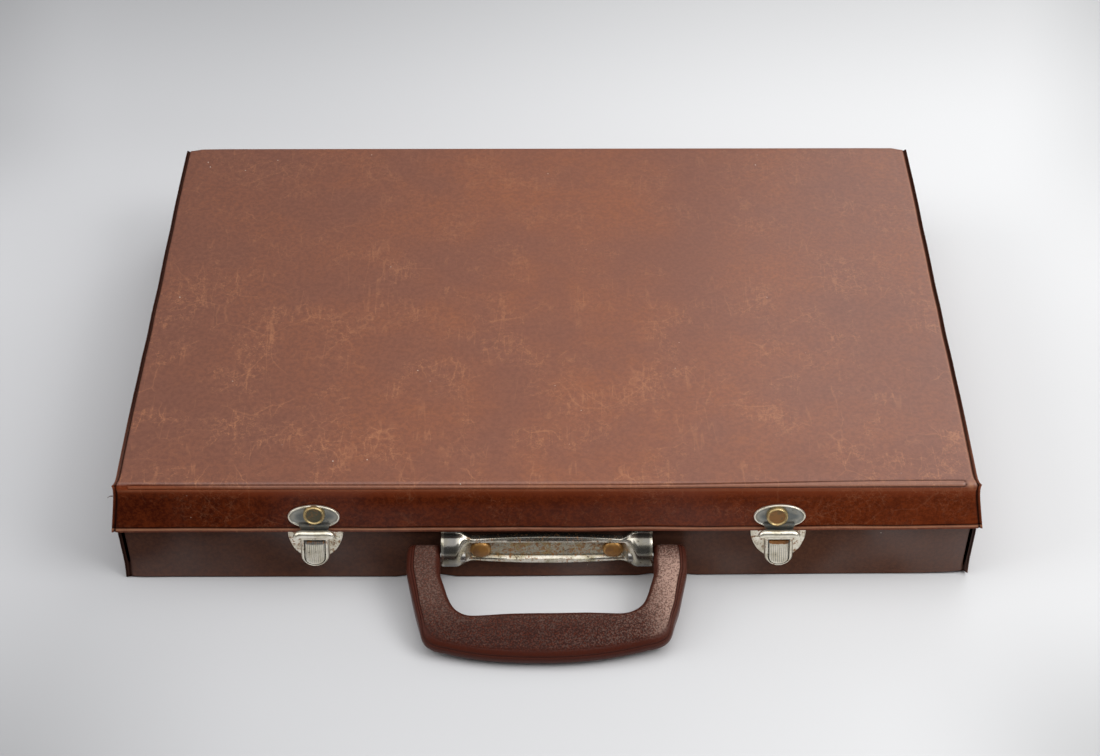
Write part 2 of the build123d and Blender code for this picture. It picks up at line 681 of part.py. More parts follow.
# The handle is made on the plane of its own outline, where -Y runs from the pivot to the grip.
TILT = math.radians(HANDLE_TILT)
HANDLE_PLANE = Plane(
    (0, PIVOT_Y, PIVOT_Z), x_dir=(1, 0, 0), z_dir=(0, -math.sin(TILT), math.cos(TILT))
)
HANDLE_SIDE = Plane(
    (0, PIVOT_Y, PIVOT_Z), x_dir=(0, -math.cos(TILT), -math.sin(TILT)), z_dir=(1, 0, 0)
)
with BuildPart() as handle_grip:
    with BuildSketch(HANDLE_SIDE):
        with BuildLine():
            ThreePointArc((0, ARM_ROUND), (-ARM_ROUND, 0), (0, -ARM_ROUND))
            Line((0, -ARM_ROUND), (GRIP_START, -GRIP_HALF_THICK))
            Line((GRIP_START, -GRIP_HALF_THICK), (GRIP_EDGE, -GRIP_HALF_THICK))
            ThreePointArc(
                (GRIP_EDGE, -GRIP_HALF_THICK), (HANDLE_REACH, 0), (GRIP_EDGE, GRIP_HALF_THICK)
            )
            Line((GRIP_EDGE, GRIP_HALF_THICK), (GRIP_START, GRIP_HALF_THICK))
            Line((GRIP_START, GRIP_HALF_THICK), (0, ARM_ROUND))
        make_face()
    extrude(amount=2 * HANDLE_HALF_WIDTH, both=True)
    with BuildSketch(HANDLE_PLANE):
        with BuildLine():
            corner = [(across, -out) for across, out in OUTER_CORNER]
            hand = [(across, -out) for across, out in HAND_CORNER]
            arm_end = Line(
                (HAND_HALF_WIDTH, ARM_ROUND), (HANDLE_HALF_WIDTH - ARM_CORNER, ARM_ROUND)
            )
            Polyline(
                arm_end @ 1,
                (HANDLE_HALF_WIDTH, ARM_ROUND - ARM_CORNER),
                (HANDLE_HALF_WIDTH, -ARM_SHOULDER),
                corner[0],
            )
            ThreePointArc(*corner)
            ThreePointArc(corner[2], (corner[2][0] / 2, GRIP_BOW - HANDLE_REACH), (0, -HANDLE_REACH))
            ThreePointArc((0, -HAND_REACH), (hand[2][0] / 2, -HAND_REACH - GRIP_BOW / 2), hand[2])
            ThreePointArc(*hand)
            Polyline(hand[0], (HAND_HALF_WIDTH, -ARM_STRAIGHT), arm_end @ 0)
            mirror(about=Plane.YZ)
        make_face()
    extrude(amount=2 * GRIP_HALF_THICK, both=True, mode=Mode.INTERSECT)
    with Locations(Plane((0, PIVOT_Y, PIVOT_Z), z_dir=(1, 0, 0))):
        Cylinder(PIN_RADIUS, 2 * PIN_OUTER, mode=Mode.SUBTRACT)
write(handle_grip, "handle_grip")

for side, word in SIDES:
    with BuildPart() as handle_pin:
        with Locations((side * (PIN_INNER + PIN_OUTER) / 2, PIVOT_Y, PIVOT_Z)):
            Cylinder(PIN_RADIUS, PIN_OUTER - PIN_INNER, rotation=(0, 90, 0))
    write(handle_pin, f"handle_pin_{word}")
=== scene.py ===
"""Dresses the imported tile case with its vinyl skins, handle, locks, hasps, bracket and finishes."""

from __future__ import annotations

import logging
import math
from collections.abc import Callable, Mapping, Sequence
from dataclasses import dataclass
from enum import Enum

import bmesh
import bpy
import numpy as np
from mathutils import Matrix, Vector, noise

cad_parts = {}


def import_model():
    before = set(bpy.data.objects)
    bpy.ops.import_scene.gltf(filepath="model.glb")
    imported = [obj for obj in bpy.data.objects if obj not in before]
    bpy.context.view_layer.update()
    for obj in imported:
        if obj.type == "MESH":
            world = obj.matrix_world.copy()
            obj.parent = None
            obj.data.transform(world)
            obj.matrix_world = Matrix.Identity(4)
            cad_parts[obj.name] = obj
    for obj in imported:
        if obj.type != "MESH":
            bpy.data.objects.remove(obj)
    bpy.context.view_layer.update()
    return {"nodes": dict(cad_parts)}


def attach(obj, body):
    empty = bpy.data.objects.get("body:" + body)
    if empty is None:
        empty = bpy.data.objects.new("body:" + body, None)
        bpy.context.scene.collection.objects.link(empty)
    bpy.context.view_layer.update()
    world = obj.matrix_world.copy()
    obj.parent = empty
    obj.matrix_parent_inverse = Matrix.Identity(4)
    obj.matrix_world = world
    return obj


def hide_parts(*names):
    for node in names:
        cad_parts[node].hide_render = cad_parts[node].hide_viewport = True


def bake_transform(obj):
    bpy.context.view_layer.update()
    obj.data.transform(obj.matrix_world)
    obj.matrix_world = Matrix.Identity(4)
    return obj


LOG = logging.getLogger("tile_case")
MM = 0.001
SIDES = {"left": -1, "right": 1}
Triple = tuple[float, float, float]
Colour = Triple

# Edges that turn by more than these degrees stay sharp.
VINYL_SHARP = 50.0
METAL_SHARP = 40.0
RIVET_SHARP = 50.0
HANDLE_SHARP = 60.0
PAPER_SHARP = 80.0
BEND_STEPS = 12  # straight runs that a rounded corner is made of
U_STEPS = 24  # points round the bottom of a U


class Body(Enum):
    """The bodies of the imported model."""

    BASE = "base"
    LID = "lid"
    HANDLE = "handle"
    THUMB_LEFT = "thumb_slide_left"
    THUMB_RIGHT = "thumb_slide_right"


class Slot(Enum):
    """The record's material slots."""

    BASE_VINYL = "base_vinyl"
    LID_VINYL = "lid_vinyl"
    HANDLE = "handle_plastic"
    LOCK = "lock_steel"
    BRACKET = "bracket_steel"
    RIVET = "rivet_brass"


# ------------------------------------------------------------------ shapes of curves and masks
def smooth(low: float, high: float, x: np.ndarray | float) -> np.ndarray:
    """Rises smoothly from 0 at low to 1 at high."""
    t = np.clip((np.asarray(x, float) - low) / (high - low), 0.0, 1.0)
    return t * t * (3 - 2 * t)


def bell(x: np.ndarray | float, middle: float, width: float) -> np.ndarray:
    """A smooth bump of height 1 and the given half width."""
    return np.exp(-(((np.asarray(x, float) - middle) / width) ** 2))


def ripple(points: np.ndarray, scale: float, seed: float) -> np.ndarray:
    """Smooth noise between about -1 and 1.

    Args:
        points: Places, in millimetres, in an array whose last axis holds X, Y and Z.
        scale: The size of one ripple, in millimetres.
        seed: Shifts the noise, so that two calls differ.

    Returns:
        One value for each place.
    """
    flat = points.reshape(-1, 3) / scale + seed
    values = [noise.noise(Vector(p)) for p in flat]
    return np.array(values).reshape(points.shape[:-1])


def dents(points: np.ndarray, scale: float, seed: float) -> np.ndarray:
    """The same noise from 0 to 1, for how far vinyl sinks between its boards."""
    return 0.5 + 0.5 * ripple(points, scale, seed)


def full_turn(count: int) -> np.ndarray:
    """Angles in even steps round a circle."""
    return np.linspace(0, 2 * math.pi, count, endpoint=False)


def spline(keys: Sequence[Sequence[float]], steps: int) -> np.ndarray:
    """Samples a Catmull-Rom curve through its keys.

    Args:
        keys: The points that the curve passes.
        steps: How many samples each span gets.

    Returns:
        The samples, one row each, with both ends kept.
    """
    k = np.array(keys, float)
    k = np.vstack([2 * k[0] - k[1], k, 2 * k[-1] - k[-2]])
    rows = []
    for i in range(1, len(k) - 2):
        for t in np.linspace(0, 1, steps, endpoint=False):
            rows.append(
                0.5
                * (
                    2 * k[i]
                    + (k[i + 1] - k[i - 1]) * t
                    + (2 * k[i - 1] - 5 * k[i] + 4 * k[i + 1] - k[i + 2]) * t**2
                    + (3 * k[i] - k[i - 1] - 3 * k[i + 1] + k[i + 2]) * t**3
                )
            )
    rows.append(k[-2])
    return np.array(rows)


class Path:
    """A line of straight runs with rounded corners, measured along its length."""

    def __init__(self, corners: Sequence[tuple[float, float]], radii: Sequence[float]) -> None:
        """Rounds the corners.

        Args:
            corners: The line's ends and corners, as Y and Z.
            radii: The radius of each corner between the ends.
        """
        c = np.array(corners, float)
        points = [c[0]]
        spans = []
        for i in range(1, len(c) - 1):
            a = (c[i - 1] - c[i]) / np.linalg.norm(c[i - 1] - c[i])
            b = (c[i + 1] - c[i]) / np.linalg.norm(c[i + 1] - c[i])
            half = math.acos(float(np.clip(a @ b, -1, 1))) / 2
            radius = radii[i - 1]
            reach = radius / math.tan(half)
            middle = c[i] + (a + b) / np.linalg.norm(a + b) * radius / math.sin(half)
            start, end = c[i] + a * reach, c[i] + b * reach
            first = math.atan2(*(start - middle)[::-1])
            turn = (math.atan2(*(end - middle)[::-1]) - first + math.pi) % (2 * math.pi) - math.pi
            spans.append((len(points), len(points) + BEND_STEPS))
            for t in np.linspace(0, 1, BEND_STEPS + 1):
                angle = first + turn * t
                points.append(middle + radius * np.array([math.cos(angle), math.sin(angle)]))
        points.append(c[-1])
        self.points = np.array(points)
        steps = np.linalg.norm(np.diff(self.points, axis=0), axis=1)
        self.along = np.concatenate([[0], np.cumsum(steps)])
        self.length = float(self.along[-1])
        self.bends: list[tuple[float, float]] = [
            (float(self.along[a]), float(self.along[b])) for a, b in spans
        ]

    def at(self, s: np.ndarray) -> np.ndarray:
        """Places at distances along the line, as rows of Y and Z."""
        return np.stack([np.interp(s, self.along, self.points[:, k]) for k in (0, 1)], axis=-1)

    def match(self, other: "Path", s: np.ndarray) -> np.ndarray:
        """Distances along another line with the same corners that stand for those on this one."""
        marks = [[0.0, *(v for bend in p.bends for v in bend), p.length] for p in (self, other)]
        return np.interp(s, *marks)

    def normal(self, s: np.ndarray, turn: int) -> np.ndarray:
        """Directions square to the line; turn is 1 or -1 and says to which side.

        Args:
            s: Distances along the line.
            turn: 1 or -1, for the side they point to.

        Returns:
            The directions, as rows of Y and Z.
        """
        ahead = self.at(np.minimum(s + 0.2, self.length)) - self.at(np.maximum(s - 0.2, 0))
        ahead /= np.linalg.norm(ahead, axis=-1, keepdims=True)
        return turn * np.stack([-ahead[..., 1], ahead[..., 0]], axis=-1)


def grid_normals(grid: np.ndarray) -> np.ndarray:
    """Unit normals of a grid of points, one for each.

    Args:
        grid: Points as rows by columns.

    Returns:
        The normals, shaped as the points.
    """
    along = np.gradient(grid, axis=0)
    across = np.gradient(grid, axis=1)
    n = np.cross(along, across)
    return n / np.maximum(np.linalg.norm(n, axis=-1, keepdims=True), 1e-9)


# ------------------------------------------------------------------ making meshes
class Piece:
    """Collects points, faces and masks in millimetres, and makes one object of them."""

    def __init__(self, name: str) -> None:
        """Starts an empty piece with the name that its object gets.

        Args:
            name: The object's name.
        """
        self.name = name
        self.points: list[np.ndarray] = []
        self.faces: list[tuple[int, ...]] = []
        self.masks: dict[str, list[np.ndarray]] = {}
        self.count = 0

    def add_points(self, points: np.ndarray, masks: Mapping[str, np.ndarray]) -> np.ndarray:
        """Adds points.

        Args:
            points: An array whose last axis holds X, Y and Z.
            masks: For each mask's name its values, shaped as the points.

        Returns:
            The points' numbers in the piece, shaped as the points.
        """
        shape = points.shape[:-1]
        added = int(np.prod(shape))
        for name in set(masks) | set(self.masks):
            values = self.masks.setdefault(name, [np.zeros(self.count)] if self.count else [])
            given = masks.get(name)
            flat = np.zeros(added) if given is None else np.broadcast_to(given, shape).ravel()
            values.append(flat)
        self.points.append(points.reshape(-1, 3))
        numbers = np.arange(self.count, self.count + added).reshape(shape)
        self.count += added
        return numbers

    def add_faces(self, n: np.ndarray, ring: bool = False) -> None:
        """Joins a grid of point numbers with quads; ring also joins the last column to the first.

        Args:
            n: Point numbers as rows by columns.
            ring: Whether the last column also joins the first.
        """
        if ring:
            n = np.concatenate([n, n[:, :1]], axis=1)
        for i in range(n.shape[0] - 1):
            for j in range(n.shape[1] - 1):
                self.faces.append((n[i, j], n[i, j + 1], n[i + 1, j + 1], n[i + 1, j]))

    def add_sheet(
        self, outer: np.ndarray, inner: np.ndarray, masks: Mapping[str, np.ndarray]
    ) -> None:
        """Adds a closed sheet.

        Args:
            outer: A grid of points on its outside.
            inner: A grid of the same shape on its inside.
            masks: Values for the outside's points; the inside gets the same.
        """
        a = self.add_points(outer, masks)
        b = self.add_points(inner, masks)
        self.add_faces(a)
        self.add_faces(b)
        for edge in (np.s_[0, :], np.s_[-1, :], np.s_[:, 0], np.s_[:, -1]):
            self.add_faces(np.stack([a[edge], b[edge]]))

    def add_rings(self, rings: np.ndarray, masks: Mapping[str, np.ndarray]) -> None:
        """Adds a tube through rings of points, closed at both ends.

        Args:
            rings: Points as rings by points round each ring.
            masks: Values for each mask, shaped as the points.
        """
        n = self.add_points(rings, masks)
        self.add_faces(n, ring=True)
        self.faces += [tuple(n[0]), tuple(n[-1])]

    def add_lathe(
        self, profile: Sequence[tuple[float, float]], middle: Vector, axis: Vector, label: str
    ) -> None:
        """Adds a turned shape.

        Args:
            profile: Radius and height of each ring, from one end on the axis to the other.
            middle: The point at height 0.
            axis: The direction of the height, of length 1.
            label: A mask that falls from 1 at the axis to 0 at the largest radius.
        """
        side = axis.orthogonal().normalized()
        other = axis.cross(side)
        turns = full_turn(40)
        largest = max(r for r, _ in profile)
        rows, shade = [], []
        for radius, height in profile:
            r = max(radius, 0.02)
            rows.append(
                [middle + axis * height + (side * math.cos(a) + other * math.sin(a)) * r for a in turns]
            )
            shade.append([1 - radius / largest] * len(turns))
        self.add_rings(np.array(rows), {label: np.array(shade)})

    def make(self, sharp: float) -> bpy.types.Object:
        """Makes the object, in metres, with normals that point out and smooth shading.

        Args:
            sharp: Edges that turn by more than this many degrees stay sharp.

        Returns:
            The new object.
        """
        mesh = bpy.data.meshes.new(self.name)
        points = np.concatenate(self.points) * MM
        mesh.from_pydata(points.tolist(), [], [tuple(int(i) for i in f) for f in self.faces])
        for name, values in self.masks.items():
            attribute = mesh.attributes.new(name, "FLOAT", "POINT")
            attribute.data.foreach_set("value", np.concatenate(values).astype(np.float32))
        return finish_mesh(self.name, mesh, sharp)


def finish_mesh(name: str, mesh: bpy.types.Mesh, sharp: float) -> bpy.types.Object:
    """Turns a mesh's normals out, smooths it and links an object that shows it.

    Args:
        name: The object's name.
        mesh: The mesh.
        sharp: Edges that turn by more than this many degrees stay sharp.

    Returns:
        The object.
    """
    work = bmesh.new()
    work.from_mesh(mesh)
    bmesh.ops.remove_doubles(work, verts=work.verts, dist=1e-7)
    bmesh.ops.recalc_face_normals(work, faces=work.faces)
    work.to_mesh(mesh)
    work.free()
    mesh.shade_smooth()
    mesh.set_sharp_from_angle(angle=math.radians(sharp))
    made = bpy.data.objects.new(name, mesh)
    bpy.context.scene.collection.objects.link(made)
    return made


def pressed_plate(
    name: str,
    loops: Sequence[np.ndarray],
    place: Callable[[float, float, float], Vector],
    thickness: float,
    round_off: float,
) -> bpy.types.Object:
    """Makes a flat plate with rounded front edges.

    Args:
        name: The object's name.
        loops: Its outline first, then any holes, as rows of X and Z in millimetres.
        place: Gives the point in millimetres for X, a rise off the back, and Z.
        thickness: Its thickness.
        round_off: The width of the rounded edge.

    Returns:
        The new object.
    """
    work = bmesh.new()
    edges = []
    for loop in loops:
        ring = [work.verts.new((x, 0.0, z)) for x, z in loop]
        edges += [work.edges.new((a, b)) for a, b in zip(ring, ring[1:] + ring[:1])]
    bmesh.ops.triangle_fill(work, edges=edges, use_beauty=True, normal=(0, -1, 0))
    back = list(work.faces)
    lifted = bmesh.ops.extrude_face_region(work, geom=back)["geom"]
    front = [v for v in lifted if isinstance(v, bmesh.types.BMVert)]
    for vert in front:
        vert.co.y = thickness
    known = set(front)
    work.normal_update()
    rim = [
        e
        for e in work.edges
        if e.verts[0] in known and e.verts[1] in known and e.calc_face_angle(0.0) > 1.0
    ]
    bmesh.ops.bevel(work, geom=rim, offset=round_off, segments=3, profile=0.5, affect="EDGES")
    for vert in work.verts:
        vert.co = place(vert.co.x, vert.co.y, vert.co.z) * MM
    mesh = bpy.data.meshes.new(name)
    work.to_mesh(mesh)
    work.free()
    return finish_mesh(name, mesh, METAL_SHARP)


# ------------------------------------------------------------------ shader expressions
class Value:
    """A shader value that grows Math nodes as it is combined with numbers and other values."""

    def __init__(self, shader: "Shader", socket: bpy.types.NodeSocket) -> None:
        """Wraps an output socket of a shader's node."""
        self.shader = shader
        self.socket = socket

    def _join(self, operation: str, first: "Input", second: "Input" = 0.0) -> "Value":
        """Adds a Math node and returns its output."""
        settings = {"operation": operation}
        return self.shader.node("ShaderNodeMath", settings, {0: first, 1: second})

    def __add__(self, other: "Input") -> "Value":
        """The sum."""
        return self._join("ADD", self, other)

    __radd__ = __add__

    def __sub__(self, other: "Input") -> "Value":
        """The difference."""
        return self._join("SUBTRACT", self, other)

    def __rsub__(self, other: "Input") -> "Value":
        """The difference, from a number."""
        return self._join("SUBTRACT", other, self)

    def __mul__(self, other: "Input") -> "Value":
        """The product."""
        return self._join("MULTIPLY", self, other)

    __rmul__ = __mul__

    def __abs__(self) -> "Value":
        """The absolute value."""
        return self._join("ABSOLUTE", self)

    def rise(self, low: float, high: float) -> "Value":
        """Rises smoothly from 0 at low to 1 at high; falls where low is the larger.

        Args:
            low: The value that gives 0.
            high: The value that gives 1.

        Returns:
            The new value.
        """
        settings = {"interpolation_type": "SMOOTHSTEP"}
        if low < high:
            return self.shader.node("ShaderNodeMapRange", settings, {0: self, 1: low, 2: high})
        inputs = {0: self, 1: high, 2: low, 3: 1.0, 4: 0.0}
        return self.shader.node("ShaderNodeMapRange", settings, inputs)


Input = Value | float | int | Sequence[float]


class Shader:
    """The nodes of one material, or of the world."""

    def __init__(self, name: str, world: bool = False) -> None:
        """Starts a material with one Principled shader, or a world with one Background.

        Args:
            name: The name of the material or world.
            world: Whether it is a world.
        """
        library = bpy.data.worlds if world else bpy.data.materials
        self.material = library.new(name)
        self.material.use_nodes = True
        self.tree = self.material.node_tree
        self.main = self.tree.nodes["Background" if world else "Principled BSDF"]
        coordinates = "Generated" if world else "Object"
        self.place = self.node("ShaderNodeTexCoord", {}, {}, coordinates)

    def node(
        self,
        kind: str,
        settings: Mapping[str, object],
        inputs: Mapping[str | int, Input],
        output: str | int = 0,
    ) -> Value:
        """Adds a node.

        Args:
            kind: The node's type.
            settings: Its properties, which are set first.
            inputs: Values or links for its sockets.
            output: Which output to return.

        Returns:
            That output.
        """
        made = self.tree.nodes.new(kind)
        for key, value in settings.items():
            setattr(made, key, value)
        for key, value in inputs.items():
            self._feed(made.inputs[key], value)
        return Value(self, made.outputs[output])

    def _feed(self, socket: bpy.types.NodeSocket, value: Input) -> None:
        """Links a value to a socket, or sets the socket to a number or a colour.

        Args:
            socket: An input socket.
            value: A value, a number, a colour or a vector.
        """
        if isinstance(value, Value):
            self.tree.links.new(value.socket, socket)
        elif isinstance(value, (int, float)):
            socket.default_value = value
        else:
            wanted = len(socket.default_value)
            socket.default_value = (*value, 1.0) if wanted == len(value) + 1 else tuple(value)

    def mix(self, factor: Input, first: Input, second: Input, blend: str = "MIX") -> Value:
        """Mixes two colours."""
        settings = {"data_type": "RGBA", "blend_type": blend}
        return self.node("ShaderNodeMix", settings, {0: factor, 6: first, 7: second}, 2)

    def stretch(self, scale: Sequence[float], turn: float = 0.0) -> Value:
        """The piece's own coordinates, stretched and turned about Z by some degrees."""
        inputs = {"Vector": self.place, "Scale": scale, "Rotation": (0, 0, math.radians(turn))}
        return self.node("ShaderNodeMapping", {}, inputs)

    def clouds(
        self, size: float, detail: float = 3.0, rough: float = 0.5, at: Value | None = None
    ) -> Value:
        """Noise with features of a size in metres, from 0 to 1.

        Args:
            size: The size of the largest features, in metres.
            detail: How many finer layers are added.
            rough: How strong the finer layers are.
            at: Coordinates to use in place of the piece's own.

        Returns:
            The noise.
        """
        inputs = {
            "Vector": at or self.place,
            "Scale": 1 / size,
            "Detail": detail,
            "Roughness": rough,
        }
        return self.node("ShaderNodeTexNoise", {}, inputs)

    def cells(self, size: float) -> Value:
        """Distances from scattered points that lie about a size in metres apart, in that size."""
        inputs = {"Vector": self.place, "Scale": 1 / size}
        return self.node("ShaderNodeTexVoronoi", {}, inputs, "Distance")

    def cracks(self, size: float, width: float, sway: float = 0.45) -> Value:
        """A net of thin wavering lines, 1 on each line.

        Args:
            size: The size of the net's meshes, in metres.
            width: The lines' half width, in metres.
            sway: How far the lines waver, in mesh sizes.

        Returns:
            The lines.
        """
        stir = {"Vector": self.place, "Scale": 1.3 / size, "Detail": 3.0}
        drift = self.node("ShaderNodeTexNoise", {}, stir, "Color")
        amount = (size * sway,) * 3
        inputs = {0: drift, 1: amount, 2: self.place}
        bent = self.node("ShaderNodeVectorMath", {"operation": "MULTIPLY_ADD"}, inputs)
        settings = {"feature": "DISTANCE_TO_EDGE"}
        net = self.node("ShaderNodeTexVoronoi", settings, {"Vector": bent, "Scale": 1 / size})
        return net.rise(width / size, 0.0)

    def split(self) -> tuple[Value, Value, Value]:
        """X, Y and Z of the place."""
        parts = self.node("ShaderNodeSeparateXYZ", {}, {0: self.place})
        return tuple(Value(self, out) for out in parts.socket.node.outputs)

    def mask(self, name: str) -> Value:
        """A mask that was stored on the mesh's points."""
        return self.node("ShaderNodeAttribute", {"attribute_name": name}, {}, "Fac")

    def bump(self, height: Input, depth: float, strength: float = 1.0) -> None:
        """Feeds a height in units of a depth in metres to the shader's normal."""
        inputs = {"Height": height, "Distance": depth, "Strength": strength}
        self.finish(Normal=self.node("ShaderNodeBump", {}, inputs))

    def finish(self, **inputs: Input) -> bpy.types.Material:
        """Feeds the Principled shader's sockets, named with underscores, and returns the material.

        Args:
            inputs: Values for the sockets, by the sockets' names.

        Returns:
            The material.
        """
        for name, value in inputs.items():
            self._feed(self.main.inputs[name.replace("_", " ")], value)
        return self.material


# ------------------------------------------------------------------ finishes
@dataclass(frozen=True)
class Vinyl:
    """Glossy vinyl, printed with the marks of an old hide: faint clouds, fine creases, scratches. It also
    carries painted light: a darker, redder copy of the hide on the upright faces that is partly painted
    shade and is shaded to the left; a painted lit band below the front fold; painted highlights along edges;
    and painted shade in grooves, on fins, along the floor line and under the lid.
    """

    name: str
    hide: Colour = (0.288, 0.106, 0.058)
    shade: Colour = (0.243, 0.098, 0.063)
    warm: Colour = (0.335, 0.120, 0.055)
    vein: Colour = (0.46, 0.195, 0.098)
    # The upright faces take a darker, redder copy of the hide, partly painted shade: the next colour is
    # their shaded end on the left, the one after it their lit end on the right.
    front_in_shade: Colour = (0.052, 0.0070, 0.0016)
    front_in_light: Colour = (0.165, 0.029, 0.0060)
    # Painted light: a lit red band just below the front fold.
    fold: Colour = (0.195, 0.038, 0.0120)
    # Leather grain, with painted shade towards the left and a painted grey sheen towards the right.
    grain_shade_and_sheen: Colour = (0.165, 0.066, 0.044)
    # Wear, and painted highlights on edges that face the lamps.
    worn: Colour = (0.460, 0.215, 0.118)
    # Painted shade: near-black in grooves, on fins, at the floor line and under the lid.
    groove: Colour = (0.014, 0.004, 0.0025)
    speck: Colour = (0.75, 0.62, 0.52)
    sheen: float = 0.9
    low_sheen: float = 0.24
    hem_sheen: float = 0.30
    marks: float = 1.0
    blotch_size: float = 0.055
    mottle_size: float = 0.0085
    leather_size: float = 0.0021
    print_size: float = 0.0019
    smear_size: float = 0.070
    crumb_size: float = 0.0062
    grain_depth: float = 0.00020
    coat_rough: float = 0.30
    coat_ior: float = 1.5

    def material(self) -> bpy.types.Material:
        """Builds the material from masks that come from the mesh: front picks the darker copy of the hide
        for the upright faces, partly painted shade; fold adds a painted lit band; two more add painted shade
        in grooves, and wear with painted highlights.

        Returns:
            The material.
        """
        s = Shader(self.name)
        front, groove, worn = s.mask("front"), s.mask("groove"), s.mask("worn")
        blotch = s.clouds(self.blotch_size, 3.0, 0.55)
        mottle = s.clouds(self.mottle_size, 5.0, 0.68)
        tone = s.mix(blotch.rise(0.32, 0.70), self.shade, self.hide)
        tone = s.mix(mottle.rise(0.42, 0.72) * blotch.rise(0.35, 0.75) * 0.75, tone, self.warm)
        across, along, height = s.split()
        leather = s.clouds(self.leather_size, 4.0, 0.72).rise(0.36, 0.64)
        # Painted light: darker towards the left and greyer towards the right, where the lamps fall, over the
        # leather grain.
        grain_and_side_light = leather * 0.45 + across.rise(0.02, -0.20) * 0.50 + across.rise(0.05, 0.20) * 0.20
        tone = s.mix(grain_and_side_light * self.marks, tone, self.grain_shade_and_sheen)
        lines = self._lines(s)
        nearer = along.rise(0.12, -0.10) * 0.30 + 0.30
        tone = s.mix(lines * nearer * self.marks, tone, self.vein)
        dots = s.clouds(self.print_size, 3.0, 0.7).rise(0.38, 0.62)
        printed = mottle.rise(0.30, 0.74) * 0.30 + dots * 0.40
        # Painted light on the upright faces: shaded on the left, lit on the right, mixed with printed
        # mottling.
        side_light_and_print = across.rise(-0.20, 0.20) * 0.45 + printed + blotch * 0.10 - 0.12
        skirt = s.mix(side_light_and_print, self.front_in_shade, self.front_in_light)
        # Painted light: a lit band below the front fold.
        skirt = s.mix(s.mask("fold") * 0.8, skirt, self.fold)
        skirt = s.mix(lines * (0.16 * self.marks), skirt, self.vein)
        tone = s.mix(front, tone, skirt)
        # Wear, and painted highlights.
        tone = s.mix(worn * (mottle * 0.8 + 0.35), tone, self.worn)
        crumbs = s.cells(self.crumb_size).rise(0.062, 0.045) * s.clouds(0.034, 1.0).rise(0.60, 0.68)
        tone = s.mix(crumbs * (0.85 * self.marks), tone, self.speck)
        # Painted shade in grooves and creases, on the fins, at the floor line and under the lid.
        tone = s.mix(groove, tone, self.groove)
        grain = s.clouds(0.0010, 2.0, 0.6) * 0.8 + s.clouds(0.0042, 3.0, 0.6) - lines * 0.7
        s.bump(grain, self.grain_depth, 0.55)
        smear = s.clouds(self.smear_size, 2.0).rise(0.38, 0.66) * self.low_sheen
        smear = smear * (1 - height.rise(0.030, 0.033) * across.rise(0.04, 0.14) * 0.8)
        smear = smear + height.rise(0.050, 0.040) * abs(across).rise(0.130, 0.070) * self.hem_sheen
        gloss = (1 - groove) * (1 - front * (1 - smear)) * self.sheen
        return s.finish(
            Base_Color=tone,
            Roughness=mottle * 0.14 + 0.42,
            Specular_IOR_Level=0.02,
            Coat_Weight=gloss,
            Coat_Roughness=self.coat_rough,
            Coat_IOR=self.coat_ior,
        )

    def _lines(self, s: Shader) -> Value:
        """Thin creases and fuzzy veins in patches, and a few long scratches.

        Args:
            s: The material's shader.

        Returns:
            The marks, from 0 to 1.
        """
        patch = s.clouds(0.032, 3.0, 0.6).rise(0.40, 0.62)
        large = s.cracks(0.034, 0.00055) * s.clouds(0.030, 2.0).rise(0.46, 0.60)
        small = s.cracks(0.011, 0.00038, 0.7) * s.clouds(0.022, 2.0).rise(0.50, 0.64)
        veins = abs(s.clouds(0.0130, 6.0, 0.62) - 0.5).rise(0.020, 0.0)
        fuzz = abs(s.clouds(0.0055, 5.0, 0.62) - 0.5).rise(0.034, 0.0)
        lines = large * 0.6 + small * 0.5 + (veins * 0.7 + fuzz * 0.6) * patch
        for turn, size, keep in ((24, 0.011, 0.55), (-52, 0.013, 0.57), (97, 0.009, 0.55)):
            streak = s.clouds(size, 2.0, 0.5, s.stretch((1.0, 0.12, 1.0), turn))
            thin = abs(streak - 0.5).rise(0.018, 0.0)
            lines = thin * s.clouds(0.021 + 0.0001 * turn, 1.0).rise(keep, keep + 0.06) * 0.5 + lines
        return lines.rise(0.0, 1.3)


